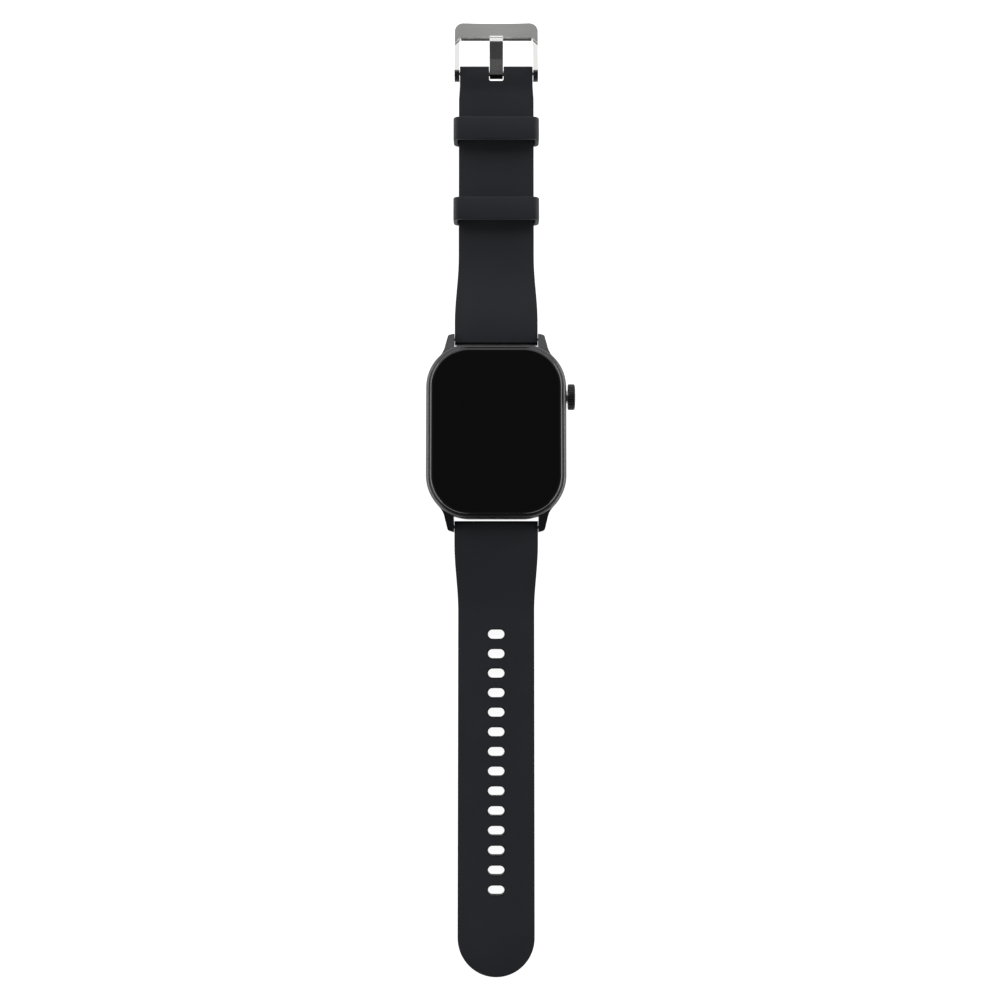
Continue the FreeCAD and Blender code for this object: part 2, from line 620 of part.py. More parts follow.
def strap_plan(sy):
    """The strap half's outline in plan, as a solid much taller than the strap."""
    start = sy * (BAR_Y - STRAP_END_R)
    neck = LUG_GAP / 2 - 0.25
    if sy < 0:
        side = strap_half_width_edges(sy, TIP_Y + BAND_W / 2, BAND_W / 2)
        r = BAND_W / 2
        close = [arc((r, TIP_Y + r, -2), (0, TIP_Y, -2), (-r, TIP_Y + r, -2))]
    else:
        stop_half = BAND_W / 2 - 0.25
        side = strap_half_width_edges(sy, 90.0, BAND_W / 2)
        side.append(line((BAND_W / 2, 90.0, -2), (stop_half, 93.5, -2)))
        side.append(line((stop_half, 93.5, -2), (stop_half, STRAP_STOP_Y, -2)))
        close = [line((stop_half, STRAP_STOP_Y, -2), (-stop_half, STRAP_STOP_Y, -2))]
    close.append(line((-(neck - 0.8), start, -2), (neck - 0.8, start, -2)))
    wire = Part.Wire(Part.__sortEdges__(side + mirrored(side) + close))
    return Part.Face(wire).extrude(V(0, 0, 12))


def strap_side_lower():
    """Side view of the hole half: round at the spring bar, sinking to the table and lying flat."""
    x, r = -14, STRAP_END_R
    top, low = BAR_Z + r, BAR_Z - r
    nose = -(BAR_Y - r)
    return profile_x([
        arc((x, -BAR_Y, low), (x, nose, BAR_Z), (x, -BAR_Y, top)),
        bezier((x, -BAR_Y, top), (x, -33.0, top), (x, -40.0, STRAP_T), (x, LOWER_FLAT_Y, STRAP_T)),
        line((x, LOWER_FLAT_Y, STRAP_T), (x, TIP_Y - 1, STRAP_T)),
        line((x, TIP_Y - 1, STRAP_T), (x, TIP_Y - 1, 0)),
        line((x, TIP_Y - 1, 0), (x, LOWER_FLAT_Y, 0)),
        bezier((x, LOWER_FLAT_Y, 0), (x, -39.0, 0), (x, -33.0, low), (x, -BAR_Y, low)),
    ], x, -x)


def strap_side_upper():
    """Side view of the buckle half: round at both bars, level between them."""
    x, r, e = -14, STRAP_END_R, STRAP_STOP_Y - BUCKLE_Y
    top, low = BAR_Z + r, BAR_Z - r
    f0, f1 = UPPER_FLAT_Z, UPPER_FLAT_Z + STRAP_T
    return profile_x([
        arc((x, BAR_Y, low), (x, BAR_Y - r, BAR_Z), (x, BAR_Y, top)),
        bezier((x, BAR_Y, top), (x, 33.0, top), (x, 38.0, f1), (x, 47.0, f1)),
        line((x, 47.0, f1), (x, 91.5, f1)),
        bezier((x, 91.5, f1), (x, 94.0, f1), (x, 95.0, BUCKLE_Z + e), (x, BUCKLE_Y, BUCKLE_Z + e)),
        arc((x, BUCKLE_Y, BUCKLE_Z + e), (x, STRAP_STOP_Y, BUCKLE_Z), (x, BUCKLE_Y, BUCKLE_Z - e)),
        bezier((x, BUCKLE_Y, BUCKLE_Z - e), (x, 95.0, BUCKLE_Z - e), (x, 94.0, f0), (x, 91.5, f0)),
        line((x, 91.5, f0), (x, 47.0, f0)),
        bezier((x, 47.0, f0), (x, 38.0, f0), (x, 33.0, low), (x, BAR_Y, low)),
    ], x, -x)


RELEASE_X = 7.6  # centre of the release lever's slot
BAR_TUBE_R = 0.9


def strap_bar_room(sy):
    """Bore for the spring bar and the slot under it for the release lever."""
    bore = rod(BAR_TUBE_R + RUN, (-12, sy * BAR_Y, BAR_Z), (12, sy * BAR_Y, BAR_Z))
    slot = box((RELEASE_X - 2.1, RELEASE_X + 1.1), (sy * BAR_Y - 0.85, sy * BAR_Y + 0.85), (-1, BAR_Z))
    return [bore, slot]


def strap_hole(y):
    """One adjustment hole, wide and low with round ends."""
    half = HOLE_W / 2 - HOLE_H / 2
    ends = [rod(HOLE_H / 2, (s * half, y, -1), (s * half, y, 6)) for s in (-1, 1)]
    return fuse(ends[0], ends[1], box((-half, half), (y - HOLE_H / 2, y + HOLE_H / 2), (-1, 6)))


def lower_strap():
    solid = strap_plan(-1).common(strap_side_lower())
    holes = [strap_hole(HOLE_FIRST_Y - HOLE_PITCH * i) for i in range(HOLE_COUNT)]
    return clean(solid.cut(group(strap_bar_room(-1)[:1])).cut(strap_bar_room(-1)[1]).cut(group(holes)))


def upper_strap():
    solid = strap_plan(1).common(strap_side_upper())
    tongue_notch = box((-NOTCH_W / 2, NOTCH_W / 2), (NOTCH_Y, STRAP_STOP_Y + 1), (-1, 8))
    bar_bore = rod(BUCKLE_BAR_R + RUN, (-12, BUCKLE_Y, BUCKLE_Z), (12, BUCKLE_Y, BUCKLE_Z))
    room = strap_bar_room(1)
    return clean(solid.cut(room[0]).cut(room[1]).cut(tongue_notch).cut(bar_bore))


def spans(strap, cuts):
    """Cuts a strap half across at each bend line and returns its lengths in order from the lugs."""
    limits = [0.0] + list(cuts) + [160.0 if cuts[0] > 0 else -160.0]
    made = []
    for a, b in zip(limits, limits[1:]):
        low, high = min(a, b), max(a, b)
        made.append(clean(strap.common(box((-20, 20), (low, high), (-2, 10)))))
    return made


# ---------------------------------------------------------------- quick-release spring bars
BAR_HALF = 10.55
TIP_OUT = LUG_GAP / 2 + 1.05


def bar_tube(sy):
    """Barrel of the spring bar, slotted for the lever."""
    y = sy * BAR_Y
    shell = tube(BAR_TUBE_R, BAR_TUBE_R - 0.22, (-BAR_HALF, y, BAR_Z), (BAR_HALF, y, BAR_Z))
    slot = box((RELEASE_X - 1.9, RELEASE_X + 0.9), (y - 0.5, y + 0.5), (BAR_Z - 2, BAR_Z))
    return clean(shell.cut(slot))


def bar_fixed_tip(sy):
    y = sy * BAR_Y
    tip = rod(TIP_R, (-TIP_OUT, y, BAR_Z), (-BAR_HALF, y, BAR_Z))
    plug = rod(BAR_TUBE_R - 0.22, (-BAR_HALF, y, BAR_Z), (-BAR_HALF + 2.0, y, BAR_Z))
    return fuse(tip, plug)


def bar_sliding_tip(sy):
    """Spring-loaded tip and the lever fixed to it, drawn inward to free the strap."""
    y = sy * BAR_Y
    tip = rod(TIP_R, (RELEASE_X - 0.5, y, BAR_Z), (TIP_OUT, y, BAR_Z))
    piston = rod(BAR_TUBE_R - 0.22 - 0.03, (RELEASE_X - 0.9, y, BAR_Z), (BAR_HALF - 0.2, y, BAR_Z))
    lever = rod(0.42, (RELEASE_X, y, BAR_Z - 1.8), (RELEASE_X, y, BAR_Z))
    head = rod(0.55, (RELEASE_X, y, BAR_Z - 2.05), (RELEASE_X, y, BAR_Z - 1.6))
    return fuse(tip, piston, lever, head)


def bar_spring(sy):
    """Compression spring between the fixed plug and the sliding tip."""
    y, wire_r, coil_r = sy * BAR_Y, 0.1, 0.52
    x0, x1 = -BAR_HALF + 2.1, RELEASE_X - 1.0
    turns = 14
    helix = Part.makeHelix((x1 - x0 - 2 * wire_r) / turns, x1 - x0 - 2 * wire_r, coil_r)
    ring = Part.Wire(Part.makeCircle(wire_r, V(coil_r, 0, 0), V(0, 1, 0)))
    coil = Part.Wire(helix.Edges).makePipeShell([ring], True, True)
    coil.rotate(V(0, 0, 0), V(0, 1, 0), 90)
    coil.translate(V(x0 + wire_r, y, BAR_Z))
    return coil.Solids[0] if coil.Solids else Part.Solid(coil.Shells[0])


# ---------------------------------------------------------------- keepers
KEEPER_L = 6.1
KEEPER_T = 1.15
KEEPER_INNER_W = BAND_W + 0.5
KEEPER_Z0 = 0.0
KEEPER_INNER_H = 2 * STRAP_T + 0.35


def keeper(y):
    """A silicone loop that holds the strap's free end."""
    w, h, t = KEEPER_INNER_W, KEEPER_INNER_H, KEEPER_T
    outer = box((-w / 2 - t, w / 2 + t), (y - KEEPER_L / 2, y + KEEPER_L / 2), (KEEPER_Z0, KEEPER_Z0 + h + 2 * t))
    along = [e for e in outer.Edges if e.BoundBox.YMax - e.BoundBox.YMin > KEEPER_L - 0.01]
    outer = outer.makeFillet(0.95, along)
    inner = box((-w / 2, w / 2), (y - KEEPER_L, y + KEEPER_L), (KEEPER_Z0 + t, KEEPER_Z0 + t + h))
    along = [e for e in inner.Edges if e.BoundBox.YMax - e.BoundBox.YMin > KEEPER_L]
    inner = inner.makeFillet(0.35, along)
    return clean(outer.cut(inner))


# ---------------------------------------------------------------- buckle
# drawn level, with distances taken from the bar's axis, then turned down about the bar
BUCKLE_BAR_R = 0.75
BUCKLE_TIP_R = 0.5
NOTCH_W = 3.9
NOTCH_Y = 94.88
ARM_IN = 9.9
ARM_OUT = 11.2
ARM_END_R = 2.15
ARM_TOP = 0.55
PLATE_TOP = 1.15
PLATE_LOW = -0.5
PLATE_NEAR = 9.9
PLATE_FAR = 14.25
PLATE_CORNER_R = 2.3
MITRE = 1.7  # length of the angled ends, where the plate turns into the arms
TONGUE_W = 3.6
TONGUE_T = 0.8
TONGUE_EYE_R = 1.45


def at_bar(shape):
    """Moves a shape drawn about the bar's axis to its place, hanging at the rest angle."""
    placed = shape.copy()
    placed.rotate(V(0, 0, 0), V(1, 0, 0), -BUCKLE_DROP)
    placed.translate(V(0, BUCKLE_Y, BUCKLE_Z))
    return placed


def buckle_arms():
    """The two side arms: round at the bar, then slim up to the plate."""
    x, r, low = -ARM_OUT, ARM_END_R, PLATE_LOW
    side = [
        arc((x, 0, -r), (x, -r, 0), (x, 0, r)),
        bezier((x, 0, r), (x, 2.7, r), (x, 5.5, ARM_TOP), (x, 8.2, ARM_TOP)),
        line((x, 8.2, ARM_TOP), (x, PLATE_NEAR + 1, ARM_TOP)),
        line((x, PLATE_NEAR + 1, ARM_TOP), (x, PLATE_NEAR + 1, low)),
        line((x, PLATE_NEAR + 1, low), (x, 8.2, low)),
        bezier((x, 8.2, low), (x, 5.5, low), (x, 2.7, -r), (x, 0, -r)),
    ]
    gap = box((-ARM_IN, ARM_IN), (-5, 20), (-5, 5))
    return profile_x(side, -ARM_OUT, ARM_OUT).cut(gap)


def buckle_plate():
    """The front plate: round outer corners, and angled ends where it turns into the arms."""
    r, out, z = PLATE_CORNER_R, ARM_OUT, PLATE_LOW
    s = r * (1 - math.sqrt(0.5))
    turn = ARM_IN - 0.4
    half = [
        line((turn, PLATE_NEAR, z), (out, PLATE_NEAR - MITRE, z)),
        line((out, PLATE_NEAR - MITRE, z), (out, PLATE_FAR - r, z)),
        arc((out, PLATE_FAR - r, z), (out - s, PLATE_FAR - s, z), (out - r, PLATE_FAR, z)),
    ]
    ends = [
        arc((out - r, PLATE_FAR, z), (0, PLATE_FAR - 0.16, z), (r - out, PLATE_FAR, z)),
        line((-turn, PLATE_NEAR, z), (turn, PLATE_NEAR, z)),
    ]
    wire = Part.Wire(Part.__sortEdges__(half + mirrored(half) + ends))
    solid = Part.Face(wire).extrude(V(0, 0, PLATE_TOP - PLATE_LOW))
    window_edges = [e for e in edges_at(solid, PLATE_TOP) if e.BoundBox.YMax < PLATE_NEAR + 0.01]
    return solid.makeChamfer(0.3, window_edges)


def buckle_frame():
    bar_holes = rod(BUCKLE_TIP_R, (-ARM_OUT - 1, 0, 0), (ARM_OUT + 1, 0, 0))
    return at_bar(clean(fuse(buckle_plate(), buckle_arms()).cut(bar_holes)))


def buckle_bar():
    """The pin through the strap's end: its thin tips are held in both arms."""
    middle = rod(BUCKLE_BAR_R, (-ARM_IN + 0.05, 0, 0), (ARM_IN - 0.05, 0, 0))
    tips = rod(BUCKLE_TIP_R, (-ARM_OUT + 0.05, 0, 0), (ARM_OUT - 0.05, 0, 0))
    return at_bar(fuse(middle, tips))


def tongue():
    """A strip wrapped round the bar: it rises in an arch and its tip comes down to rest on the plate."""
    x, t, rest, tip = -TONGUE_W / 2, TONGUE_T, PLATE_TOP + 0.03, PLATE_NEAR + 0.35
    arch = [(-0.2, 1.537), (0.7, 1.672), (2.2, 1.8485), (3.1, 1.97), (4.1, 2.145), (6.3, 2.70), (7.4, 2.955),
            (7.9, 3.07), (8.4, 3.10), (8.9, 2.91)]
    above = [(x, y, z) for y, z in arch]
    below = [(x, y, z - t) for y, z in arch]
    edges = [bezier(*run[i:i + 4]) for run in (above, below) for i in (0, 3, 6)]
    edges += [
        bezier(above[-1], (x, 9.4, 2.72), (x, tip, 2.3), (x, tip, 1.7)),
        bezier((x, tip, 1.7), (x, tip, 1.35), (x, tip - 0.1, rest), (x, tip - 0.3, rest)),
        bezier((x, tip - 0.3, rest), (x, 9.7, rest), (x, 9.3, 1.96), below[-1]),
        line(below[0], (x, -1.0, 0.6)),
        line((x, -1.0, 0.6), (x, -1.0, 1.417)),
        line((x, -1.0, 1.417), above[0]),
    ]
    eye = rod(TONGUE_EYE_R, (x, 0, 0), (-x, 0, 0))
    made = fuse(profile_x(edges, x, -x), eye).cut(rod(BUCKLE_BAR_R + RUN, (x - 1, 0, 0), (-x + 1, 0, 0)))
    return at_bar(clean(made))


# ---------------------------------------------------------------- the whole watch
def build():
    save("case_frame", case_frame())
    save("cover_glass", cover_glass())
    save("glass_seal", glass_seal())
    save("display_panel", display_panel())
    save("display_cushion", display_cushion())
    save("display_flex", display_flex())
    save("board_bracket", board_bracket())
    save("main_board", main_board())
    save("board_screws", board_screws())
    save("board_chips", chips())
    save("shield_can", shield_can())
    save("board_connectors", board_connectors())
    save("battery_cell", battery_cell())
    save("battery_lead", battery_lead())
    save("motor_can", motor_can())
    save("motor_weight", motor_weight())
    save("speaker", speaker())
    save("speaker_mesh", speaker_mesh())
    save("microphone", microphone())
    save("crown_cap", crown_cap())
    save("crown_stem", crown_stem())
    save("crown_seal", crown_seal())
    save("crown_clip", crown_clip())
    save("crown_tube", crown_tube())
    save("side_switch", side_switch())
    save("switch_plunger", switch_plunger())
    save("switch_bracket", switch_bracket())
    save("switch_flex", switch_flex())
    save("back_cover", back_cover())
    save("back_seal", back_seal())
    save("back_screws", back_screws())
    save("sensor_window", sensor_window())
    save("sensor_board", sensor_board())
    save("sensor_diodes", sensor_diodes())
    save("light_baffle", light_baffle())
    save("charge_contacts", charge_contacts())
    save("charge_magnets", charge_magnets())
    for side, sy in (("upper", 1), ("lower", -1)):
        save(f"bar_tube_{side}", bar_tube(sy))
        save(f"bar_fixed_tip_{side}", bar_fixed_tip(sy))
        save(f"bar_sliding_tip_{side}", bar_sliding_tip(sy))
        save(f"bar_spring_{side}", bar_spring(sy))
    for i, span in enumerate(spans(upper_strap(), UPPER_BENDS_Y)):
        save(f"strap_buckle_half_{i + 1}", span)
    for i, span in enumerate(spans(lower_strap(), LOWER_BENDS_Y)):
        save(f"strap_hole_half_{i + 1}", span)
    save("keeper_near_buckle", keeper(KEEPER_NEAR_BUCKLE_Y))
    save("keeper_near_case", keeper(KEEPER_NEAR_CASE_Y))
    save("buckle_frame", buckle_frame())
    save("buckle_bar", buckle_bar())
    save("buckle_tongue", tongue())


build()
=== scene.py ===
# %% [markdown]
# # A smartwatch laid open
#
# The watch lies on its back on a white table: a dark metal case with a black glass, a silicone strap in two
# halves, two keeper loops and a steel pin buckle. The hard parts come from the engineering model, and this lesson
# gives them their finishes. The soft parts and the buckle's tongue are modelled here.

# %% Load the engineering model
import math

import bpy
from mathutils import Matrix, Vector


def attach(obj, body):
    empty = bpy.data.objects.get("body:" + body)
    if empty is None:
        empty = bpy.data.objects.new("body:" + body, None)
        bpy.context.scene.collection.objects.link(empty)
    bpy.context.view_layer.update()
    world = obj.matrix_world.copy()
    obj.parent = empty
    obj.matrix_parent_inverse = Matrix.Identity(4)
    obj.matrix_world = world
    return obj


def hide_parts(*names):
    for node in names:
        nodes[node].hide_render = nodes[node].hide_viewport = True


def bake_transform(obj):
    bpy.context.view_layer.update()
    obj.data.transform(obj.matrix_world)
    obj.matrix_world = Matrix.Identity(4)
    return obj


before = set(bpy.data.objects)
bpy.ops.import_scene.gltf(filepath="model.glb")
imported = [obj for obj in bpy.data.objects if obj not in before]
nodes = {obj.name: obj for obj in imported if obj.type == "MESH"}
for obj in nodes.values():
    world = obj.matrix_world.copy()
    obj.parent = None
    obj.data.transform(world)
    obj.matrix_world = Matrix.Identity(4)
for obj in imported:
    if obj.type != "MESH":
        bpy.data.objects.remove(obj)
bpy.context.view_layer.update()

MM = 0.001

# %% [markdown]
# ## Small helpers
#
# An operator works on whatever is selected. These helpers keep one piece selected, pick its faces or edges by
# where they are, and apply modifiers, so that each later cell can read like the steps done by hand.

# %% Selecting and finishing
def only(piece):
    """Selects this piece and nothing else."""
    if bpy.context.object and bpy.context.object.mode != "OBJECT":
        bpy.ops.object.mode_set(mode="OBJECT")
    bpy.ops.object.select_all(action="DESELECT")
    piece.select_set(True)
    bpy.context.view_layer.objects.active = piece


def named(name):
    """Names the piece that was just added and sets its place into its mesh."""
    piece = bpy.context.object
    piece.name = name
    piece.data.name = name
    bpy.ops.object.transform_apply(location=True, rotation=True, scale=True)
    return piece


def pick_faces(piece, wanted):
    """Enters edit mode with only the faces that wanted(centre, normal) accepts."""
    only(piece)
    bpy.ops.object.mode_set(mode="EDIT")
    bpy.ops.mesh.select_mode(type="FACE")
    bpy.ops.mesh.select_all(action="DESELECT")
    bpy.ops.object.mode_set(mode="OBJECT")
    for face in piece.data.polygons:
        face.select = wanted(face.center, face.normal)
    bpy.ops.object.mode_set(mode="EDIT")


def pick_edges(piece, wanted):
    """Enters edit mode with only the edges that wanted(one end, other end) accepts."""
    only(piece)
    bpy.ops.object.mode_set(mode="EDIT")
    bpy.ops.mesh.select_mode(type="EDGE")
    bpy.ops.mesh.select_all(action="DESELECT")
    bpy.ops.object.mode_set(mode="OBJECT")
    points = piece.data.vertices
    for edge in piece.data.edges:
        a, b = (points[i].co for i in edge.vertices)
        edge.select = wanted(a, b)
    bpy.ops.object.mode_set(mode="EDIT")


def apply_modifiers(piece):
    """Makes the piece's modifiers part of its mesh, in their order."""
    only(piece)
    for modifier in list(piece.modifiers):
        bpy.ops.object.modifier_apply(modifier=modifier.name)


def cut_away(piece, cutters):
    """Takes each cutter's shape out of the piece."""
    for cutter in cutters:
        cut = piece.modifiers.new("cut", "BOOLEAN")
        cut.operation = "DIFFERENCE"
        cut.solver = "EXACT"
        cut.object = cutter
        apply_modifiers(piece)
        bpy.data.objects.remove(cutter)


def round_edges(piece, width, segments=3, angle=50.0):
    """Rolls every edge that is sharper than the angle. Short faces can hold the width back."""
    bevel = piece.modifiers.new("edges", "BEVEL")
    bevel.width = width
    bevel.segments = segments
    bevel.limit_method = "ANGLE"
    bevel.angle_limit = math.radians(angle)
    bevel.miter_outer = "MITER_ARC"
    apply_modifiers(piece)


def smooth(piece, angle=35.0):
    """Shades the piece smooth, with sharp edges wherever it turns by more than the angle."""
    only(piece)
    bpy.ops.object.shade_smooth_by_angle(angle=math.radians(angle))


def merge_flats(piece):
    """Joins neighbouring faces that lie in one plane, so that a bevel has clean edges to follow."""
    only(piece)
    bpy.ops.object.mode_set(mode="EDIT")
    bpy.ops.mesh.select_all(action="SELECT")
    bpy.ops.mesh.dissolve_limited(angle_limit=math.radians(0.3))
    bpy.ops.object.mode_set(mode="OBJECT")


def even_flats(piece):
    """Lets the large flat faces decide the shading, so that they stay flat beside small bevels."""
    weigh = piece.modifiers.new("even", "WEIGHTED_NORMAL")
    weigh.keep_sharp = True
    weigh.weight = 100
    apply_modifiers(piece)


# %% [markdown]
# ## A base for every finish
#
# Each finish starts with one Principled shader. Real surfaces are never even, so a fine noise, read from the
# object's own coordinates, drives a small change of roughness and a tiny bump. The scale says how large the
# grain is, and the depth how deep.

# %% The finish maker
def finish(name, color, metallic=0.0, roughness=0.5):
    """A Principled material. Returns it with its node tree and shader."""
    made = bpy.data.materials.new(name)
    made.use_nodes = True
    shader = made.node_tree.nodes["Principled BSDF"]
    shader.inputs["Base Color"].default_value = (*color, 1.0)
    shader.inputs["Metallic"].default_value = metallic
    shader.inputs["Roughness"].default_value = roughness
    return made, made.node_tree, shader


def place_grain(tree, scale, stretch=(1.0, 1.0, 1.0), detail=3.0):
    """A noise whose cells are 1/scale metres wide, drawn out by stretch."""
    where = tree.nodes.new("ShaderNodeTexCoord")
    mapping = tree.nodes.new("ShaderNodeMapping")
    mapping.inputs["Scale"].default_value = stretch
    noise = tree.nodes.new("ShaderNodeTexNoise")
    noise.inputs["Scale"].default_value = scale
    noise.inputs["Detail"].default_value = detail
    tree.links.new(where.outputs["Object"], mapping.inputs["Vector"])
    tree.links.new(mapping.outputs["Vector"], noise.inputs["Vector"])
    return noise.outputs["Fac"]


def spread(tree, value, low, high):
    """Turns a 0 to 1 pattern into values from low to high."""
    ramp = tree.nodes.new("ShaderNodeMapRange")
    ramp.inputs["From Min"].default_value = 0.3
    ramp.inputs["From Max"].default_value = 0.7
    ramp.inputs["To Min"].default_value = low
    ramp.inputs["To Max"].default_value = high
    tree.links.new(value, ramp.inputs["Value"])
    return ramp.outputs["Result"]


def add_bump(tree, shader, value, depth, strength=1.0):
    """Lets the pattern raise the surface by up to the depth."""
    bump = tree.nodes.new("ShaderNodeBump")
    bump.inputs["Strength"].default_value = strength
    bump.inputs["Distance"].default_value = depth
    tree.links.new(value, bump.inputs["Height"])
    tree.links.new(bump.outputs["Normal"], shader.inputs["Normal"])


def tint(tree, shader, value, dark, light):
    """Moves the base colour between two shades with the pattern."""
    mix = tree.nodes.new("ShaderNodeMix")
    mix.data_type = "RGBA"
    mix.inputs[6].default_value = (*dark, 1.0)
    mix.inputs[7].default_value = (*light, 1.0)
    tree.links.new(value, mix.inputs[0])
    tree.links.new(mix.outputs[2], shader.inputs["Base Color"])


def wear(*pieces_of, with_finish):
    """Gives these model parts a finish."""
    for name in pieces_of:
        mesh = nodes[name].data
        mesh.materials.clear()
        mesh.materials.append(with_finish)


# %% [markdown]
# ## Silicone
#
# Watch-strap silicone is moulded against a finely blasted tool and then given a soft-touch coat, so it is almost
# black, dry and even. It scatters light at grazing angles, which a little sheen gives. Its grain is about a
# tenth of a millimetre, and a slower cloud of roughness stands for handling.

# %% Silicone
silicone, tree, shader = finish("silicone", (0.033, 0.035, 0.0415), roughness=0.55)
shader.inputs["Specular IOR Level"].default_value = 0.16
shader.inputs["Sheen Weight"].default_value = 0.06
shader.inputs["Sheen Roughness"].default_value = 0.45
skin = place_grain(tree, 6500.0, detail=2.0)
handling = place_grain(tree, 90.0, detail=4.0)
tree.links.new(spread(tree, handling, 0.50, 0.62), shader.inputs["Roughness"])
tint(tree, shader, spread(tree, handling, 0.0, 1.0), (0.0315, 0.0340, 0.0400), (0.0345, 0.0365, 0.0430))
add_bump(tree, shader, skin, 0.00003, strength=0.5)

# %% [markdown]
# ## The case metal, the crown and the glass
#
# The case is bead-blasted and anodised: a satin metal with a tight, even grain. The crown is the same metal, a
# little darker. The glass is black all through here, because the screen under it is off, and its only texture is
# the faint haze that fingers leave.

# %% Case, crown and glass
case_metal, tree, shader = finish("case_metal", (0.076, 0.076, 0.080), metallic=1.0, roughness=0.35)
blast = place_grain(tree, 9000.0, detail=2.0)
cloud = place_grain(tree, 120.0, detail=3.0)
tree.links.new(spread(tree, cloud, 0.31, 0.39), shader.inputs["Roughness"])
tint(tree, shader, spread(tree, cloud, 0.0, 1.0), (0.071, 0.071, 0.075), (0.081, 0.081, 0.085))
add_bump(tree, shader, blast, 0.000012, strength=0.6)

crown_metal, tree, shader = finish("crown_metal", (0.052, 0.052, 0.055), metallic=1.0, roughness=0.36)
turned = place_grain(tree, 4000.0, stretch=(6.0, 0.4, 0.4))
tree.links.new(spread(tree, turned, 0.30, 0.42), shader.inputs["Roughness"])
add_bump(tree, shader, turned, 0.00001, strength=0.5)

dark_glass, tree, shader = finish("dark_glass", (0.0025, 0.0025, 0.0028), roughness=0.04)
shader.inputs["Specular IOR Level"].default_value = 0.5
shader.inputs["Coat Weight"].default_value = 0.3
shader.inputs["Coat Roughness"].default_value = 0.02
haze = place_grain(tree, 60.0, stretch=(1.0, 0.6, 1.0), detail=5.0)
tree.links.new(spread(tree, haze, 0.03, 0.075), shader.inputs["Roughness"])

sensor_glass, tree, shader = finish("sensor_glass", (0.0035, 0.0035, 0.0040), roughness=0.06)
haze = place_grain(tree, 140.0, detail=4.0)
tree.links.new(spread(tree, haze, 0.05, 0.11), shader.inputs["Roughness"])

# %% [markdown]
# ## Steel
#
# The buckle is steel with four finishes. Its front plate is brushed along its length, which means fine scratches
# that run one way: a noise drawn out more than 80 times along X. Its arms and the tongue are polished, with only
# hairlines. The chamfer along the window is milled, and the window's wall and the round ends keep the dark skin
# of the casting.

# %% Brushed and polished steel, milled steel with a painted highlight, and near-black steel as painted shade
brushed_steel, tree, shader = finish("brushed_steel", (0.31, 0.31, 0.30), metallic=1.0, roughness=0.34)
shader.inputs["Anisotropic"].default_value = 0.4
scratches = place_grain(tree, 9000.0, stretch=(0.012, 1.0, 1.0), detail=5.0)
tree.links.new(spread(tree, scratches, 0.27, 0.41), shader.inputs["Roughness"])
tint(tree, shader, spread(tree, scratches, 0.0, 1.0), (0.27, 0.27, 0.265), (0.345, 0.345, 0.335))
add_bump(tree, shader, scratches, 0.000004, strength=0.5)

polished_steel, tree, shader = finish("polished_steel", (0.70, 0.70, 0.69), metallic=1.0, roughness=0.10)
hairlines = place_grain(tree, 1500.0, stretch=(1.0, 0.1, 1.0), detail=3.0)
tree.links.new(spread(tree, hairlines, 0.07, 0.15), shader.inputs["Roughness"])
add_bump(tree, shader, hairlines, 0.000004, strength=0.3)

# The milled chamfer's near-white, mostly diffuse colour is a painted highlight that keeps it bright whatever it
# faces.
milled_painted_highlight_steel, tree, shader = finish("milled_painted_highlight_steel", (0.92, 0.92, 0.91), metallic=0.25, roughness=0.45)
mill_marks = place_grain(tree, 4000.0, stretch=(0.05, 1.0, 1.0), detail=3.0)
tree.links.new(spread(tree, mill_marks, 0.38, 0.52), shader.inputs["Roughness"])
add_bump(tree, shader, mill_marks, 0.000006, strength=0.4)

# Near-black steel: painted shade for the window's wall and the round ends of the arms and the tongue's eye.
painted_shade_steel, tree, shader = finish("painted_shade_steel", (0.018, 0.018, 0.018), roughness=0.5)
shader.inputs["Specular IOR Level"].default_value = 0.3
pitting = place_grain(tree, 6000.0, detail=4.0)
tree.links.new(spread(tree, pitting, 0.42, 0.60), shader.inputs["Roughness"])
add_bump(tree, shader, pitting, 0.00002, strength=0.5)

# %% [markdown]
# ## The finishes inside the case
#
# The inner parts show only when the watch is opened, but each still has its own stuff: moulded plastic, a
# lacquered board, pouch foil, gold contacts, sintered metal, film and foam.

# %% Inner finishes
def inner(name, color, metallic, rough, grain, depth, stretch=(1.0, 1.0, 1.0)):
    """A plain finish with its own grain in roughness, shade and bump."""
    made, tree, shader = finish(name, color, metallic, rough)
    pattern = place_grain(tree, grain, stretch)
    tree.links.new(spread(tree, pattern, rough * 0.85, min(1.0, rough * 1.2)), shader.inputs["Roughness"])
    shades = [tuple(c * f for c in color) for f in (0.88, 1.1)]
    tint(tree, shader, spread(tree, pattern, 0.0, 1.0), *shades)
    add_bump(tree, shader, pattern, depth, strength=0.5)
    return made


black_plastic = inner("black_plastic", (0.017, 0.017, 0.018), 0.0, 0.48, 5500.0, 0.00003)
circuit_board = inner("circuit_board", (0.008, 0.035, 0.018), 0.0, 0.32, 2200.0, 0.00001)
chip_black = inner("chip_black", (0.02, 0.02, 0.02), 0.0, 0.6, 7000.0, 0.00002)
tinned_steel = inner("tinned_steel", (0.55, 0.54, 0.51), 1.0, 0.32, 1600.0, 0.00001, (1.0, 0.1, 1.0))
gold_contact = inner("gold_contact", (0.83, 0.58, 0.22), 1.0, 0.22, 2500.0, 0.000006)
battery_foil = inner("battery_foil", (0.60, 0.61, 0.63), 1.0, 0.42, 900.0, 0.00003)
seal_rubber = inner("seal_rubber", (0.012, 0.012, 0.012), 0.0, 0.7, 4000.0, 0.00003)
flex_film = inner("flex_film", (0.22, 0.085, 0.012), 0.0, 0.28, 1200.0, 0.00001)
heavy_alloy = inner("heavy_alloy", (0.20, 0.20, 0.21), 1.0, 0.55, 5000.0, 0.00003)
magnet_nickel = inner("magnet_nickel", (0.62, 0.59, 0.54), 1.0, 0.16, 1500.0, 0.000006)
diode_clear = inner("diode_clear", (0.55, 0.60, 0.35), 0.0, 0.2, 3000.0, 0.000006)
print("finishes:", len(bpy.data.materials))

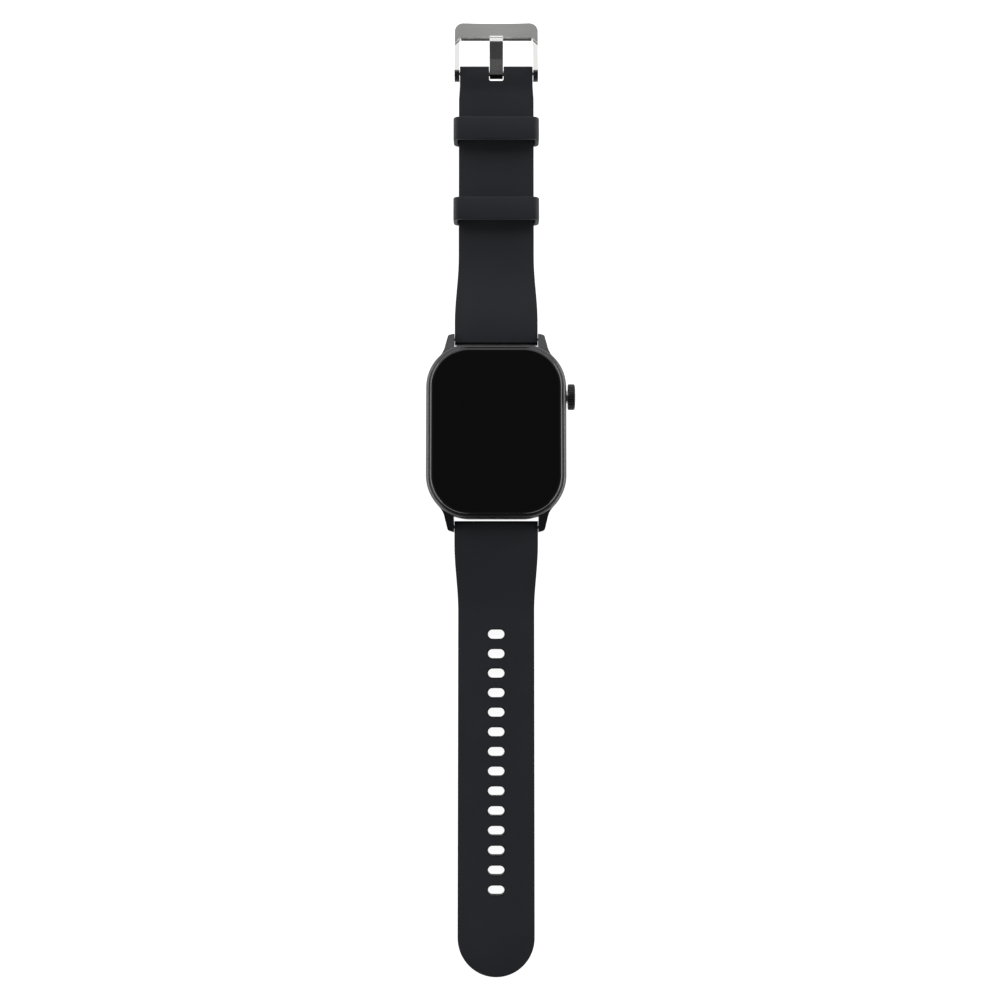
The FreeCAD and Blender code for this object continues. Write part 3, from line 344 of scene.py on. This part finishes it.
# %% Dress the parts that keep their engineering shape
wear("case_frame", with_finish=case_metal)
wear("crown_cap", with_finish=crown_metal)
wear("cover_glass", "display_panel", with_finish=dark_glass)
wear("sensor_window", with_finish=sensor_glass)
wear("buckle_bar", "crown_stem", "switch_plunger", with_finish=polished_steel)
wear("back_screws", with_finish=brushed_steel)
wear("back_cover", "board_bracket", "speaker", "side_switch", "light_baffle", "board_connectors",
     with_finish=black_plastic)
wear("main_board", "sensor_board", with_finish=circuit_board)
wear("board_chips", with_finish=chip_black)
wear("board_screws", "shield_can", "motor_can", "speaker_mesh", "microphone", "crown_tube", "switch_bracket",
     "crown_clip", with_finish=tinned_steel)
wear("charge_contacts", with_finish=gold_contact)
wear("battery_cell", with_finish=battery_foil)
wear("glass_seal", "display_cushion", "back_seal", "crown_seal", with_finish=seal_rubber)
wear("display_flex", "battery_lead", "switch_flex", with_finish=flex_film)
wear("motor_weight", with_finish=heavy_alloy)
wear("charge_magnets", with_finish=magnet_nickel)
wear("sensor_diodes", with_finish=diode_clear)
for side in ("upper", "lower"):
    wear(f"bar_tube_{side}", with_finish=brushed_steel)
    wear(f"bar_fixed_tip_{side}", f"bar_sliding_tip_{side}", with_finish=polished_steel)
    wear(f"bar_spring_{side}", with_finish=tinned_steel)

# %% [markdown]
# ## The strap's outline and thickness
#
# A strap half could be a cube pulled into shape, but its outline and its two curved faces are easier to get in
# the order a mould maker draws them. One edge is extruded along the strap, widened or
# narrowed at each step, to make a flat ribbon. The ribbon is then given its upper and lower faces, the end at the
# lugs is rounded with one wide bevel, and the whole rim gets a very small one.
#
# The side view needs two smooth curves, one for each face. Each is a Bezier curve, the same kind a drawing program
# has, read at any distance along the strap.

# %% Curves that give width and height along the strap
def curve_height(points, y):
    """Height at y on a cubic Bezier curve through (y, z) control points."""
    low, high = 0.0, 1.0
    rising = points[3][0] > points[0][0]
    for _ in range(40):
        t = (low + high) / 2
        a, b, c, d = (1 - t) ** 3, 3 * t * (1 - t) ** 2, 3 * t * t * (1 - t), t ** 3
        here = a * points[0][0] + b * points[1][0] + c * points[2][0] + d * points[3][0]
        if (here < y) == rising:
            low = t
        else:
            high = t
    return a * points[0][1] + b * points[1][1] + c * points[2][1] + d * points[3][1]


BAR_Y, BAR_Z, NOSE = 25.0, 3.6, 1.7
LUG_HALF, BAND_HALF, THICK = 10.95, 10.0, 2.4


def half_width(distance):
    """Half the strap's width at a distance from the case centre, before its far end."""
    if distance < 29.5:
        return LUG_HALF
    if distance > 47.0:
        return BAND_HALF
    return curve_height([(29.5, LUG_HALF), (35.5, LUG_HALF), (41.0, BAND_HALF), (47.0, BAND_HALF)], distance)


def lower_faces(y):
    """Under and upper face of the hole half at y, in millimetres."""
    top, low = BAR_Z + NOSE, BAR_Z - NOSE
    if y > -BAR_Y:
        return low, top
    if y < -50.0:
        return 0.0, THICK
    upper = curve_height([(-25.0, top), (-33.0, top), (-40.0, THICK), (-50.0, THICK)], y)
    under = curve_height([(-25.0, low), (-33.0, low), (-39.0, 0.0), (-50.0, 0.0)], y)
    return under, upper


FLAT_Z, BUCKLE_Y, BUCKLE_Z, END = 1.35, 97.4, 2.55, 1.75


def upper_faces(y):
    """Under and upper face of the buckle half at y."""
    top, low = BAR_Z + NOSE, BAR_Z - NOSE
    if y < BAR_Y:
        return low, top
    if y < 47.0:
        upper = curve_height([(25.0, top), (33.0, top), (38.0, FLAT_Z + THICK), (47.0, FLAT_Z + THICK)], y)
        under = curve_height([(25.0, low), (33.0, low), (38.0, FLAT_Z), (47.0, FLAT_Z)], y)
        return under, upper
    if y < 91.5:
        return FLAT_Z, FLAT_Z + THICK
    if y > BUCKLE_Y:
        return BUCKLE_Z - END, BUCKLE_Z + END
    upper = curve_height([(91.5, FLAT_Z + THICK), (94.0, FLAT_Z + THICK), (95.0, BUCKLE_Z + END),
                          (97.4, BUCKLE_Z + END)], y)
    under = curve_height([(91.5, FLAT_Z), (94.0, FLAT_Z), (95.0, BUCKLE_Z - END), (97.4, BUCKLE_Z - END)], y)
    return under, upper


# %% [markdown]
# ## Drawing the ribbon
#
# One edge across the strap is extruded from station to station. After each extrusion the new edge is scaled to
# the strap's width there. The stations are close where the strap curves or will bend, and closer still round the
# tip. Then the ribbon is extruded once downwards for its under side, and each point slides to its own face's
# height, which is the sculpting step.

# %% The ribbon maker
def ribbon(name, stations, faces):
    """A strip from (y, half width) stations, with the heights of its two faces given by faces(y)."""
    first_y, first_half = stations[0]
    bpy.ops.object.select_all(action="DESELECT")
    bpy.ops.mesh.primitive_plane_add(size=1.0)
    piece = named(name)
    pick_edges(piece, lambda a, b: a.y < 0 and b.y < 0)
    bpy.ops.mesh.delete(type="VERT")
    pick_edges(piece, lambda a, b: True)
    bpy.ops.mesh.select_all(action="SELECT")
    bpy.ops.transform.resize(value=(2 * first_half * MM, 1.0, 1.0))
    bpy.ops.transform.translate(value=(0.0, first_y * MM - 0.5, 0.0))
    pick_edges(piece, lambda a, b: abs(a.y - b.y) < 1e-9)
    past_y, past_half = first_y, first_half
    for y, half in stations[1:]:
        bpy.ops.mesh.extrude_edges_move(TRANSFORM_OT_translate={"value": (0.0, (y - past_y) * MM, 0.0)})
        bpy.ops.transform.resize(value=(half / past_half, 1.0, 1.0))
        past_y, past_half = y, half
    bpy.ops.mesh.select_all(action="SELECT")
    bpy.ops.mesh.extrude_region_move(TRANSFORM_OT_translate={"value": (0.0, 0.0, -1.0 * MM)})
    bpy.ops.object.mode_set(mode="OBJECT")
    for point in piece.data.vertices:
        under, upper = faces(point.co.y / MM)
        point.co.z = (upper if point.co.z > -0.5 * MM else under) * MM
    bpy.ops.object.mode_set(mode="EDIT")
    bpy.ops.mesh.select_all(action="SELECT")
    bpy.ops.mesh.remove_doubles(threshold=1e-6)
    bpy.ops.mesh.normals_make_consistent(inside=False)
    bpy.ops.object.mode_set(mode="OBJECT")
    return piece


def steps(start, stop, pitch):
    """Evenly spaced values from start to stop, both included."""
    count = max(1, round(abs(stop - start) / pitch))
    return [start + (stop - start) * i / count for i in range(count + 1)]


# %% [markdown]
# ## The hole half
#
# Its stations run from the round nose at the spring bar to the tip, which is half a circle. The nose is a bevel
# nearly half the thickness wide. The rim asks for 0.6 mm, but short faces in the outline hold the bevel back to
# 0.02 mm, and to 0.07 mm on the buckle half, so both rims are practically sharp.

# %% The hole half's body
NOSE_Y, TIP_Y = 23.3, -141.4
RIM = 0.6 * MM
hole_stations = [(-y, half_width(y)) for y in steps(NOSE_Y, 54.0, 0.7)]
hole_stations += [(y, BAND_HALF) for y in steps(-54.7, TIP_Y + BAND_HALF, 1.25)]
for turn in steps(5.0, 86.0, 4.5):
    angle = math.radians(turn)
    hole_stations.append((TIP_Y + BAND_HALF - BAND_HALF * math.sin(angle), BAND_HALF * math.cos(angle)))
hole_stations.append((TIP_Y, 0.35))
hole_half = ribbon("hole_half", hole_stations, lower_faces)


def round_nose(piece, at_y, radius):
    """Turns the two long edges of the strap's blunt end into one half-round nose."""
    pick_edges(piece, lambda a, b: abs(a.y - at_y) < 1e-5 and abs(b.y - at_y) < 1e-5 and abs(a.x - b.x) > MM)
    bpy.ops.mesh.bevel(offset=radius * 0.97, segments=8, affect="EDGES")
    bpy.ops.object.mode_set(mode="OBJECT")


round_nose(hole_half, -NOSE_Y * MM, NOSE * MM)
round_edges(hole_half, RIM, segments=4)
print("hole half:", len(hole_half.data.polygons), "faces")

# %% [markdown]
# ## The holes
#
# Fourteen adjustment holes, each a slot with round ends. One cutter is modelled: a cylinder whose halves are
# pulled apart, with its top and bottom flared, so that the cut itself leaves a softly rolled rim. The cutter is
# copied along the strap.

# %% The hole cutter
HOLE_PITCH, HOLE_FIRST, HOLE_COUNT = 5.1, -53.0, 14
HOLE_R, HOLE_APART = 1.2, 0.95


def slot_cutter(name, y, low, high, flare=0.28):
    """A slot-shaped punch whose ends flare out at the two faces of the strap."""
    bpy.ops.object.select_all(action="DESELECT")
    bpy.ops.mesh.primitive_cylinder_add(vertices=32, radius=HOLE_R * MM, depth=(high - low - 2 * flare) * MM,
                                        location=(0.0, 0.0, (low + high) / 2 * MM))
    punch = named(name)
    for rising in (1, -1):
        pick_faces(punch, lambda c, n: n.z * rising > 0.9)
        for turn in (30.0, 60.0, 85.0):
            angle = math.radians(turn)
            before = math.radians(turn - (30.0 if turn < 70.0 else 25.0))
            rise = flare * (math.sin(angle) - math.sin(before))
            grow = (HOLE_R + flare * (1 - math.cos(angle))) / (HOLE_R + flare * (1 - math.cos(before)))
            bpy.ops.mesh.extrude_region_move(TRANSFORM_OT_translate={"value": (0.0, 0.0, rising * rise * MM)})
            bpy.ops.transform.resize(value=(grow, grow, 1.0))
        bpy.ops.mesh.extrude_region_move(TRANSFORM_OT_translate={"value": (0.0, 0.0, rising * 0.6 * MM)})
    bpy.ops.object.mode_set(mode="OBJECT")
    for point in punch.data.vertices:
        if abs(point.co.x) > 1e-7:
            point.co.x += math.copysign(HOLE_APART * MM, point.co.x)
        point.co.y += y * MM
    return punch


cut_away(hole_half, [slot_cutter("punch", HOLE_FIRST - HOLE_PITCH * i, 0.0, THICK) for i in range(HOLE_COUNT)])
print("hole half after punching:", len(hole_half.data.polygons), "faces")

# %% [markdown]
# ## Room for the spring bar
#
# A bore runs across the nose for the spring bar, with a slot under it for the release lever.

# %% Spring bar bores
def bore_cutter(name, radius, y, z, half=13.0):
    """A round punch that lies across the strap."""
    bpy.ops.object.select_all(action="DESELECT")
    bpy.ops.mesh.primitive_cylinder_add(vertices=40, radius=radius * MM, depth=2 * half * MM,
                                        location=(0.0, y * MM, z * MM), rotation=(0.0, math.radians(90.0), 0.0))
    return named(name)


def block_cutter(name, x, y, z):
    """A plain block punch from three (low, high) pairs."""
    bpy.ops.object.select_all(action="DESELECT")
    bpy.ops.mesh.primitive_cube_add(size=1.0, location=[(a + b) / 2 * MM for a, b in (x, y, z)],
                                    scale=[(b - a) * MM for a, b in (x, y, z)])
    return named(name)


cut_away(hole_half, [bore_cutter("bore", 0.95, -BAR_Y, BAR_Z),
                     block_cutter("lever room", (5.5, 8.7), (-BAR_Y - 0.85, -BAR_Y + 0.85), (0.5, BAR_Z))])

# %% [markdown]
# ## The buckle half
#
# The same ribbon, shorter, with a second round end at the buckle, a notch there for the tongue and a bore for the
# buckle's bar.

# %% The buckle half's body
STOP_Y, STOP_HALF = 99.15, 9.75
buckle_stations = [(y, half_width(y)) for y in steps(NOSE_Y, 56.0, 0.7)]
buckle_stations += [(y, BAND_HALF) for y in steps(57.5, 90.0, 2.5)]
for y in steps(90.7, STOP_Y, 0.7):
    narrowed = min(1.0, (y - 90.0) / 3.5)
    buckle_stations.append((y, BAND_HALF + (STOP_HALF - BAND_HALF) * narrowed))
buckle_half = ribbon("buckle_half", buckle_stations, upper_faces)
round_nose(buckle_half, NOSE_Y * MM, NOSE * MM)
round_nose(buckle_half, STOP_Y * MM, END * MM)
round_edges(buckle_half, RIM, segments=4)
NOTCH_HALF, NOTCH_Y = 1.95, 94.88
notch = block_cutter("notch", (-NOTCH_HALF, NOTCH_HALF), (NOTCH_Y, STOP_Y + 1.0), (-1.0, 8.0))
pick_edges(notch, lambda a, b: a.y < 0.095 and b.y < 0.095 and abs(a.z - b.z) > MM)
bpy.ops.mesh.bevel(offset=0.5 * MM, segments=4, affect="EDGES")
bpy.ops.object.mode_set(mode="OBJECT")
cut_away(buckle_half, [notch,
                       bore_cutter("bar bore", 0.8, BUCKLE_Y, BUCKLE_Z),
                       bore_cutter("spring bar bore", 0.95, BAR_Y, BAR_Z),
                       block_cutter("lever room", (5.5, 8.7), (BAR_Y - 0.85, BAR_Y + 0.85), (0.5, BAR_Z))])
print("buckle half:", len(buckle_half.data.polygons), "faces")

# %% [markdown]
# ## Cutting the halves into lengths
#
# Each half bends over several hinges, and a piece can turn smoothly over one hinge only. So each half is cut
# midway between its hinges, where it never bends, and each length is closed at its cuts. The lengths stay
# in contact there, and the strap looks like one moulding in every pose.

# %% Cut into lengths
def length_of(piece, name, low, high):
    """A copy of the piece between two y limits, closed where it was cut."""
    only(piece)
    bpy.ops.object.duplicate()
    part = named(name)
    for y, side in ((low, True), (high, False)):
        if y is None:
            continue
        only(part)
        bpy.ops.object.mode_set(mode="EDIT")
        bpy.ops.mesh.select_all(action="SELECT")
        bpy.ops.mesh.bisect(plane_co=(0.0, y * MM, 0.0), plane_no=(0.0, 1.0, 0.0), use_fill=True,
                            clear_inner=side, clear_outer=not side)
        bpy.ops.object.mode_set(mode="OBJECT")
    smooth(part, 40.0)
    part.data.materials.clear()
    part.data.materials.append(silicone)
    return part


HOLE_HINGES = [-45.35 - 20.4 * i for i in range(5)]
BUCKLE_HINGES, BUCKLE_CUT = (37.0, 50.0), 43.5
hole_cuts = [None] + [(a + b) / 2 for a, b in zip(HOLE_HINGES, HOLE_HINGES[1:])] + [None]
for i, hinge in enumerate(HOLE_HINGES):
    part = length_of(hole_half, f"hole_half_{i + 1}", hole_cuts[i + 1], hole_cuts[i])
    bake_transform(part)
    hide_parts(f"strap_hole_half_{i + 1}")
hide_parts("strap_hole_half_6")

for i, hinge in enumerate(BUCKLE_HINGES):
    low, high = (BUCKLE_CUT, None) if i else (None, BUCKLE_CUT)
    part = length_of(buckle_half, f"buckle_half_{i + 1}", low, high)
    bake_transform(part)
    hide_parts(f"strap_buckle_half_{i + 1}")
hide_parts("strap_buckle_half_3")
bpy.data.objects.remove(hole_half)
bpy.data.objects.remove(buckle_half)

# %% [markdown]
# ## The keepers
#
# A keeper is a moulded silicone loop. It starts as a block with its long edges rolled. Its two open faces are
# inset by the wall's thickness and bridged, which makes the tunnel, and every edge left is softened.

# %% The keepers
KEEPER_W, KEEPER_L, KEEPER_H, KEEPER_WALL = 22.8, 6.1, 7.45, 1.15
KEEPER_CORNER, KEEPER_EDGE = 1.65, 0.3


def keeper(name, y):
    """A moulded loop round the strap, with its middle at y."""
    bpy.ops.object.select_all(action="DESELECT")
    bpy.ops.mesh.primitive_cube_add(size=1.0, location=(0.0, y * MM, KEEPER_H / 2 * MM),
                                    scale=(KEEPER_W * MM, KEEPER_L * MM, KEEPER_H * MM))
    loop = named(name)
    pick_edges(loop, lambda a, b: abs(a.y - b.y) > MM)
    bpy.ops.mesh.bevel(offset=KEEPER_CORNER * MM, segments=8, affect="EDGES")
    pick_faces(loop, lambda c, n: abs(n.y) > 0.9)
    bpy.ops.mesh.inset(thickness=KEEPER_WALL * MM, use_even_offset=True)
    bpy.ops.mesh.bridge_edge_loops()
    bpy.ops.object.mode_set(mode="OBJECT")
    round_edges(loop, KEEPER_EDGE * MM, segments=3)
    smooth(loop, 40.0)
    loop.data.materials.append(silicone)
    return loop


for name, y, body, node in (("keeper_loop_a", 81.05, "keeper_a", "keeper_near_buckle"),
                            ("keeper_loop_b", 59.45, "keeper_b", "keeper_near_case")):
    loop = keeper(name, y)
    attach(loop, body)
    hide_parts(node)
    print(name, [round(d / MM, 2) for d in loop.dimensions])

# %% [markdown]
# ## The buckle's frame
#
# A pin buckle is a stamped and milled steel frame: two slim arms that are round where the bar passes through them,
# and a raised front plate whose ends meet the arms in a mitre. It could be modelled again from a block, but the
# engineering model's faces are already exact, so only their finishes are set here. The plate's top is brushed, the
# chamfer along the window and the mitres is milled and painted near-white as a painted highlight, the window's wall
# and the round ends are painted near-black as painted shade, and the rest is polished. The buckle hangs a little
# over eight degrees below level, so each face is first turned back to level, where it is easy to say which is which.

# %% The frame's finishes
BUCKLE_DROP = math.radians(8.2)
PLATE_NEAR, PLATE_TOP, STEP_Y = 9.9, 1.15, 8.2


def levelled(y, z):
    """The y and z of a direction or distance once the buckle is turned back to level."""
    c, s = math.cos(BUCKLE_DROP), math.sin(BUCKLE_DROP)
    return y * c - z * s, y * s + z * c


frame_mesh = nodes["buckle_frame"].data
frame_mesh.materials.clear()
for metal in (polished_steel, brushed_steel, milled_painted_highlight_steel, painted_shade_steel):
    frame_mesh.materials.append(metal)
for face in frame_mesh.polygons:
    y, z = levelled(face.center.y / MM - BUCKLE_Y, face.center.z / MM - BUCKLE_Z)
    facing_y, facing_z = levelled(face.normal.y, face.normal.z)
    if facing_z > 0.97 and z > PLATE_TOP - 0.02 and y > STEP_Y:
        face.material_index = 1
    # The chamfer and the mitres get the milled steel, whose near-white colour is a painted highlight.
    elif facing_y < -0.3 and 0.3 < facing_z < 0.95 and y > STEP_Y - 0.5 and z > PLATE_TOP - 0.4:
        face.material_index = 2
    # The window's wall and the round ends get the near-black steel: painted shade.
    elif facing_y < -0.9 and abs(y - PLATE_NEAR) < 0.02:
        face.material_index = 3
    elif facing_y < -0.2 and y < 0.0:
        face.material_index = 3
print("faces of each finish:", [sum(f.material_index == i for f in frame_mesh.polygons) for i in range(4)])

# %% [markdown]
# ## The tongue
#
# The tongue is a steel strip wrapped round the bar. It leaves the eye in a low arch and its tip comes down on the
# plate. It could be bent from a flat strip, but its side view is easier to draw: three Bezier curves in a row, so
# its polished face runs from dark to bright in one sweep. The eye is a short cylinder joined to it and bored for
# the bar.

# %% Tongue
TONGUE_HALF, TONGUE_T, EYE_R, TIP = 1.8, 0.8, 1.45, 10.25
ARCH_START, ARCH_SLOPE = -0.2, 0.15
ARCH = [(-0.2, 1.537), (0.7, 1.672), (2.2, 1.8485), (3.1, 1.97), (4.1, 2.145), (6.3, 2.70), (7.4, 2.955),
        (7.9, 3.07), (8.4, 3.10), (8.9, 2.91)]


def tongue_faces(y):
    """Under and upper face of the tongue at y from the bar."""
    if y < ARCH_START:
        return 0.6, ARCH[0][1] + ARCH_SLOPE * (y - ARCH_START)
    if y >= 8.9:
        upper = curve_height([(8.9, 2.91), (9.4, 2.72), (TIP, 2.3), (TIP + 0.02, 1.7)], y)
        under = curve_height([(8.9, 2.11), (9.3, 1.96), (9.7, 1.2), (TIP + 0.02, 1.2)], y)
        return under, upper
    first = 0 if y <= 3.1 else 3 if y <= 7.4 else 6
    upper = curve_height(ARCH[first:first + 4], y)
    return upper - TONGUE_T, upper


tongue_stations = [(-1.0, TONGUE_HALF)] + [(y, TONGUE_HALF) for y in steps(ARCH_START, 9.6, 0.2)]
tongue_stations += [(9.8, TONGUE_HALF - 0.03), (9.95, TONGUE_HALF - 0.10), (10.08, TONGUE_HALF - 0.22),
                    (10.18, TONGUE_HALF - 0.38), (TIP, TONGUE_HALF - 0.62)]
tongue = ribbon("tongue", tongue_stations, tongue_faces)
eye = bore_cutter("eye", EYE_R, 0.0, 0.0, half=TONGUE_HALF - 0.04)
weld = tongue.modifiers.new("weld", "BOOLEAN")
weld.operation = "UNION"
weld.solver = "EXACT"
weld.object = eye
apply_modifiers(tongue)
bpy.data.objects.remove(eye)
cut_away(tongue, [bore_cutter("eye bore", 0.8, 0.0, 0.0)])
merge_flats(tongue)
# The tongue's short faces hold this bevel back to 0.01 mm.
round_edges(tongue, 0.2 * MM, segments=3, angle=55.0)
# The eye's round back gets the near-black steel: painted shade.
for metal in (polished_steel, painted_shade_steel):
    tongue.data.materials.append(metal)
for face in tongue.data.polygons:
    if face.normal.y < -0.3 and face.center.y < -0.8 * MM and abs(face.normal.x) < 0.3:
        face.material_index = 1
smooth(tongue, 35.0)
even_flats(tongue)
print("tongue:", len(tongue.data.polygons), "faces")

# %% [markdown]
# ## Hanging the tongue at its resting angle
#
# The tongue rests on the plate, so it hangs at the same angle as the buckle. The turn is made about the bar, and then
# the tongue is carried to the bar's place. With no window open, the rotate operator turns the other way round, so
# its angle is given as positive.

# %% To the bar
only(tongue)
bpy.ops.object.mode_set(mode="EDIT")
bpy.ops.mesh.select_all(action="SELECT")
bpy.ops.transform.rotate(value=BUCKLE_DROP, orient_axis="X", center_override=(0.0, 0.0, 0.0))
bpy.ops.transform.translate(value=(0.0, BUCKLE_Y * MM, BUCKLE_Z * MM))
bpy.ops.object.mode_set(mode="OBJECT")
print("tongue's tip in mm:", [round(c / MM, 2) for c in max(tongue.data.vertices, key=lambda v: v.co.y).co])
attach(tongue, "tongue")
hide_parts("buckle_tongue")

# %% [markdown]
# ## Table, camera and light
#
# The table is a light table: a white sheet lit from below as well as from above, which keeps it evenly white. The
# camera is above it and looks almost straight down. One broad soft box stands behind, for the buckle and the
# strap. A long low box stands on each side, and draws the thin bright lines along the glass. The sky is dark
# overhead, which keeps the flat glass black, and dim in front, which keeps the steel from glaring there.

# %% Table
bpy.context.scene.view_settings.view_transform = "Standard"
bpy.ops.object.select_all(action="DESELECT")
bpy.ops.mesh.primitive_plane_add(size=8.0, location=(0.0, 0.0, -0.00002))
table = named("table")
white, tree, shader = finish("table_white", (0.80, 0.80, 0.80), roughness=0.8)
shader.inputs["Specular IOR Level"].default_value = 0.1
shader.inputs["Emission Color"].default_value = (1.0, 1.0, 1.0, 1.0)
shader.inputs["Emission Strength"].default_value = 0.92
table.data.materials.append(white)

# %% Camera
camera_data = bpy.data.cameras.new("camera")
camera_data.lens = 54.3
camera_data.sensor_width = 36.0
camera_data.clip_start = 0.01
camera = bpy.data.objects.new("camera", camera_data)
camera.location = (0.0010, -0.0447, 0.400)
camera.rotation_euler = (math.radians(3.89), 0.0, 0.0)
bpy.context.scene.collection.objects.link(camera)
bpy.context.scene.camera = camera

# %% Light
def soft_box(name, place, size, brightness, aim=(0.0, 0.0, 0.0)):
    """A rectangular area light that faces the aim point. Its power gives its face the wanted brightness."""
    data = bpy.data.lights.new(name, "AREA")
    data.shape = "RECTANGLE"
    data.size, data.size_y = size
    data.energy = brightness * math.pi * size[0] * size[1]
    lamp = bpy.data.objects.new(name, data)
    lamp.location = place
    lamp.rotation_mode = "QUATERNION"
    lamp.rotation_quaternion = (Vector(aim) - Vector(place)).to_track_quat("-Z", "Y")
    bpy.context.scene.collection.objects.link(lamp)


soft_box("back box", (0.0, 1.574, 1.032), (4.4, 1.83), 0.95, aim=(0.0, 0.10, 0.0))
soft_box("left box", (-1.1, 0.0, 0.17), (2.0, 0.28), 5.2, aim=(0.0, 0.0, 0.05))
soft_box("right box", (1.1, 0.0, 0.17), (2.0, 0.28), 5.2, aim=(0.0, 0.0, 0.05))

world = bpy.data.worlds.new("studio")
bpy.context.scene.world = world
world.use_nodes = True
sky = world.node_tree
where = sky.nodes.new("ShaderNodeTexCoord")
split = sky.nodes.new("ShaderNodeSeparateXYZ")
fade = sky.nodes.new("ShaderNodeMapRange")
fade.inputs["From Min"].default_value = 0.84
fade.inputs["From Max"].default_value = 0.97
fade.inputs["To Min"].default_value = 0.20
fade.inputs["To Max"].default_value = 0.06
front = sky.nodes.new("ShaderNodeMapRange")
front.inputs["From Min"].default_value = -0.6
front.inputs["From Max"].default_value = -0.1
front.inputs["To Min"].default_value = 0.35
front.inputs["To Max"].default_value = 1.0
both = sky.nodes.new("ShaderNodeMath")
both.operation = "MULTIPLY"
sky.nodes["Background"].inputs["Color"].default_value = (1.0, 1.0, 1.0, 1.0)
sky.links.new(where.outputs["Generated"], split.inputs["Vector"])
sky.links.new(split.outputs["Z"], fade.inputs["Value"])
sky.links.new(split.outputs["Y"], front.inputs["Value"])
sky.links.new(fade.outputs["Result"], both.inputs[0])
sky.links.new(front.outputs["Result"], both.inputs[1])
sky.links.new(both.outputs["Value"], sky.nodes["Background"].inputs["Strength"])
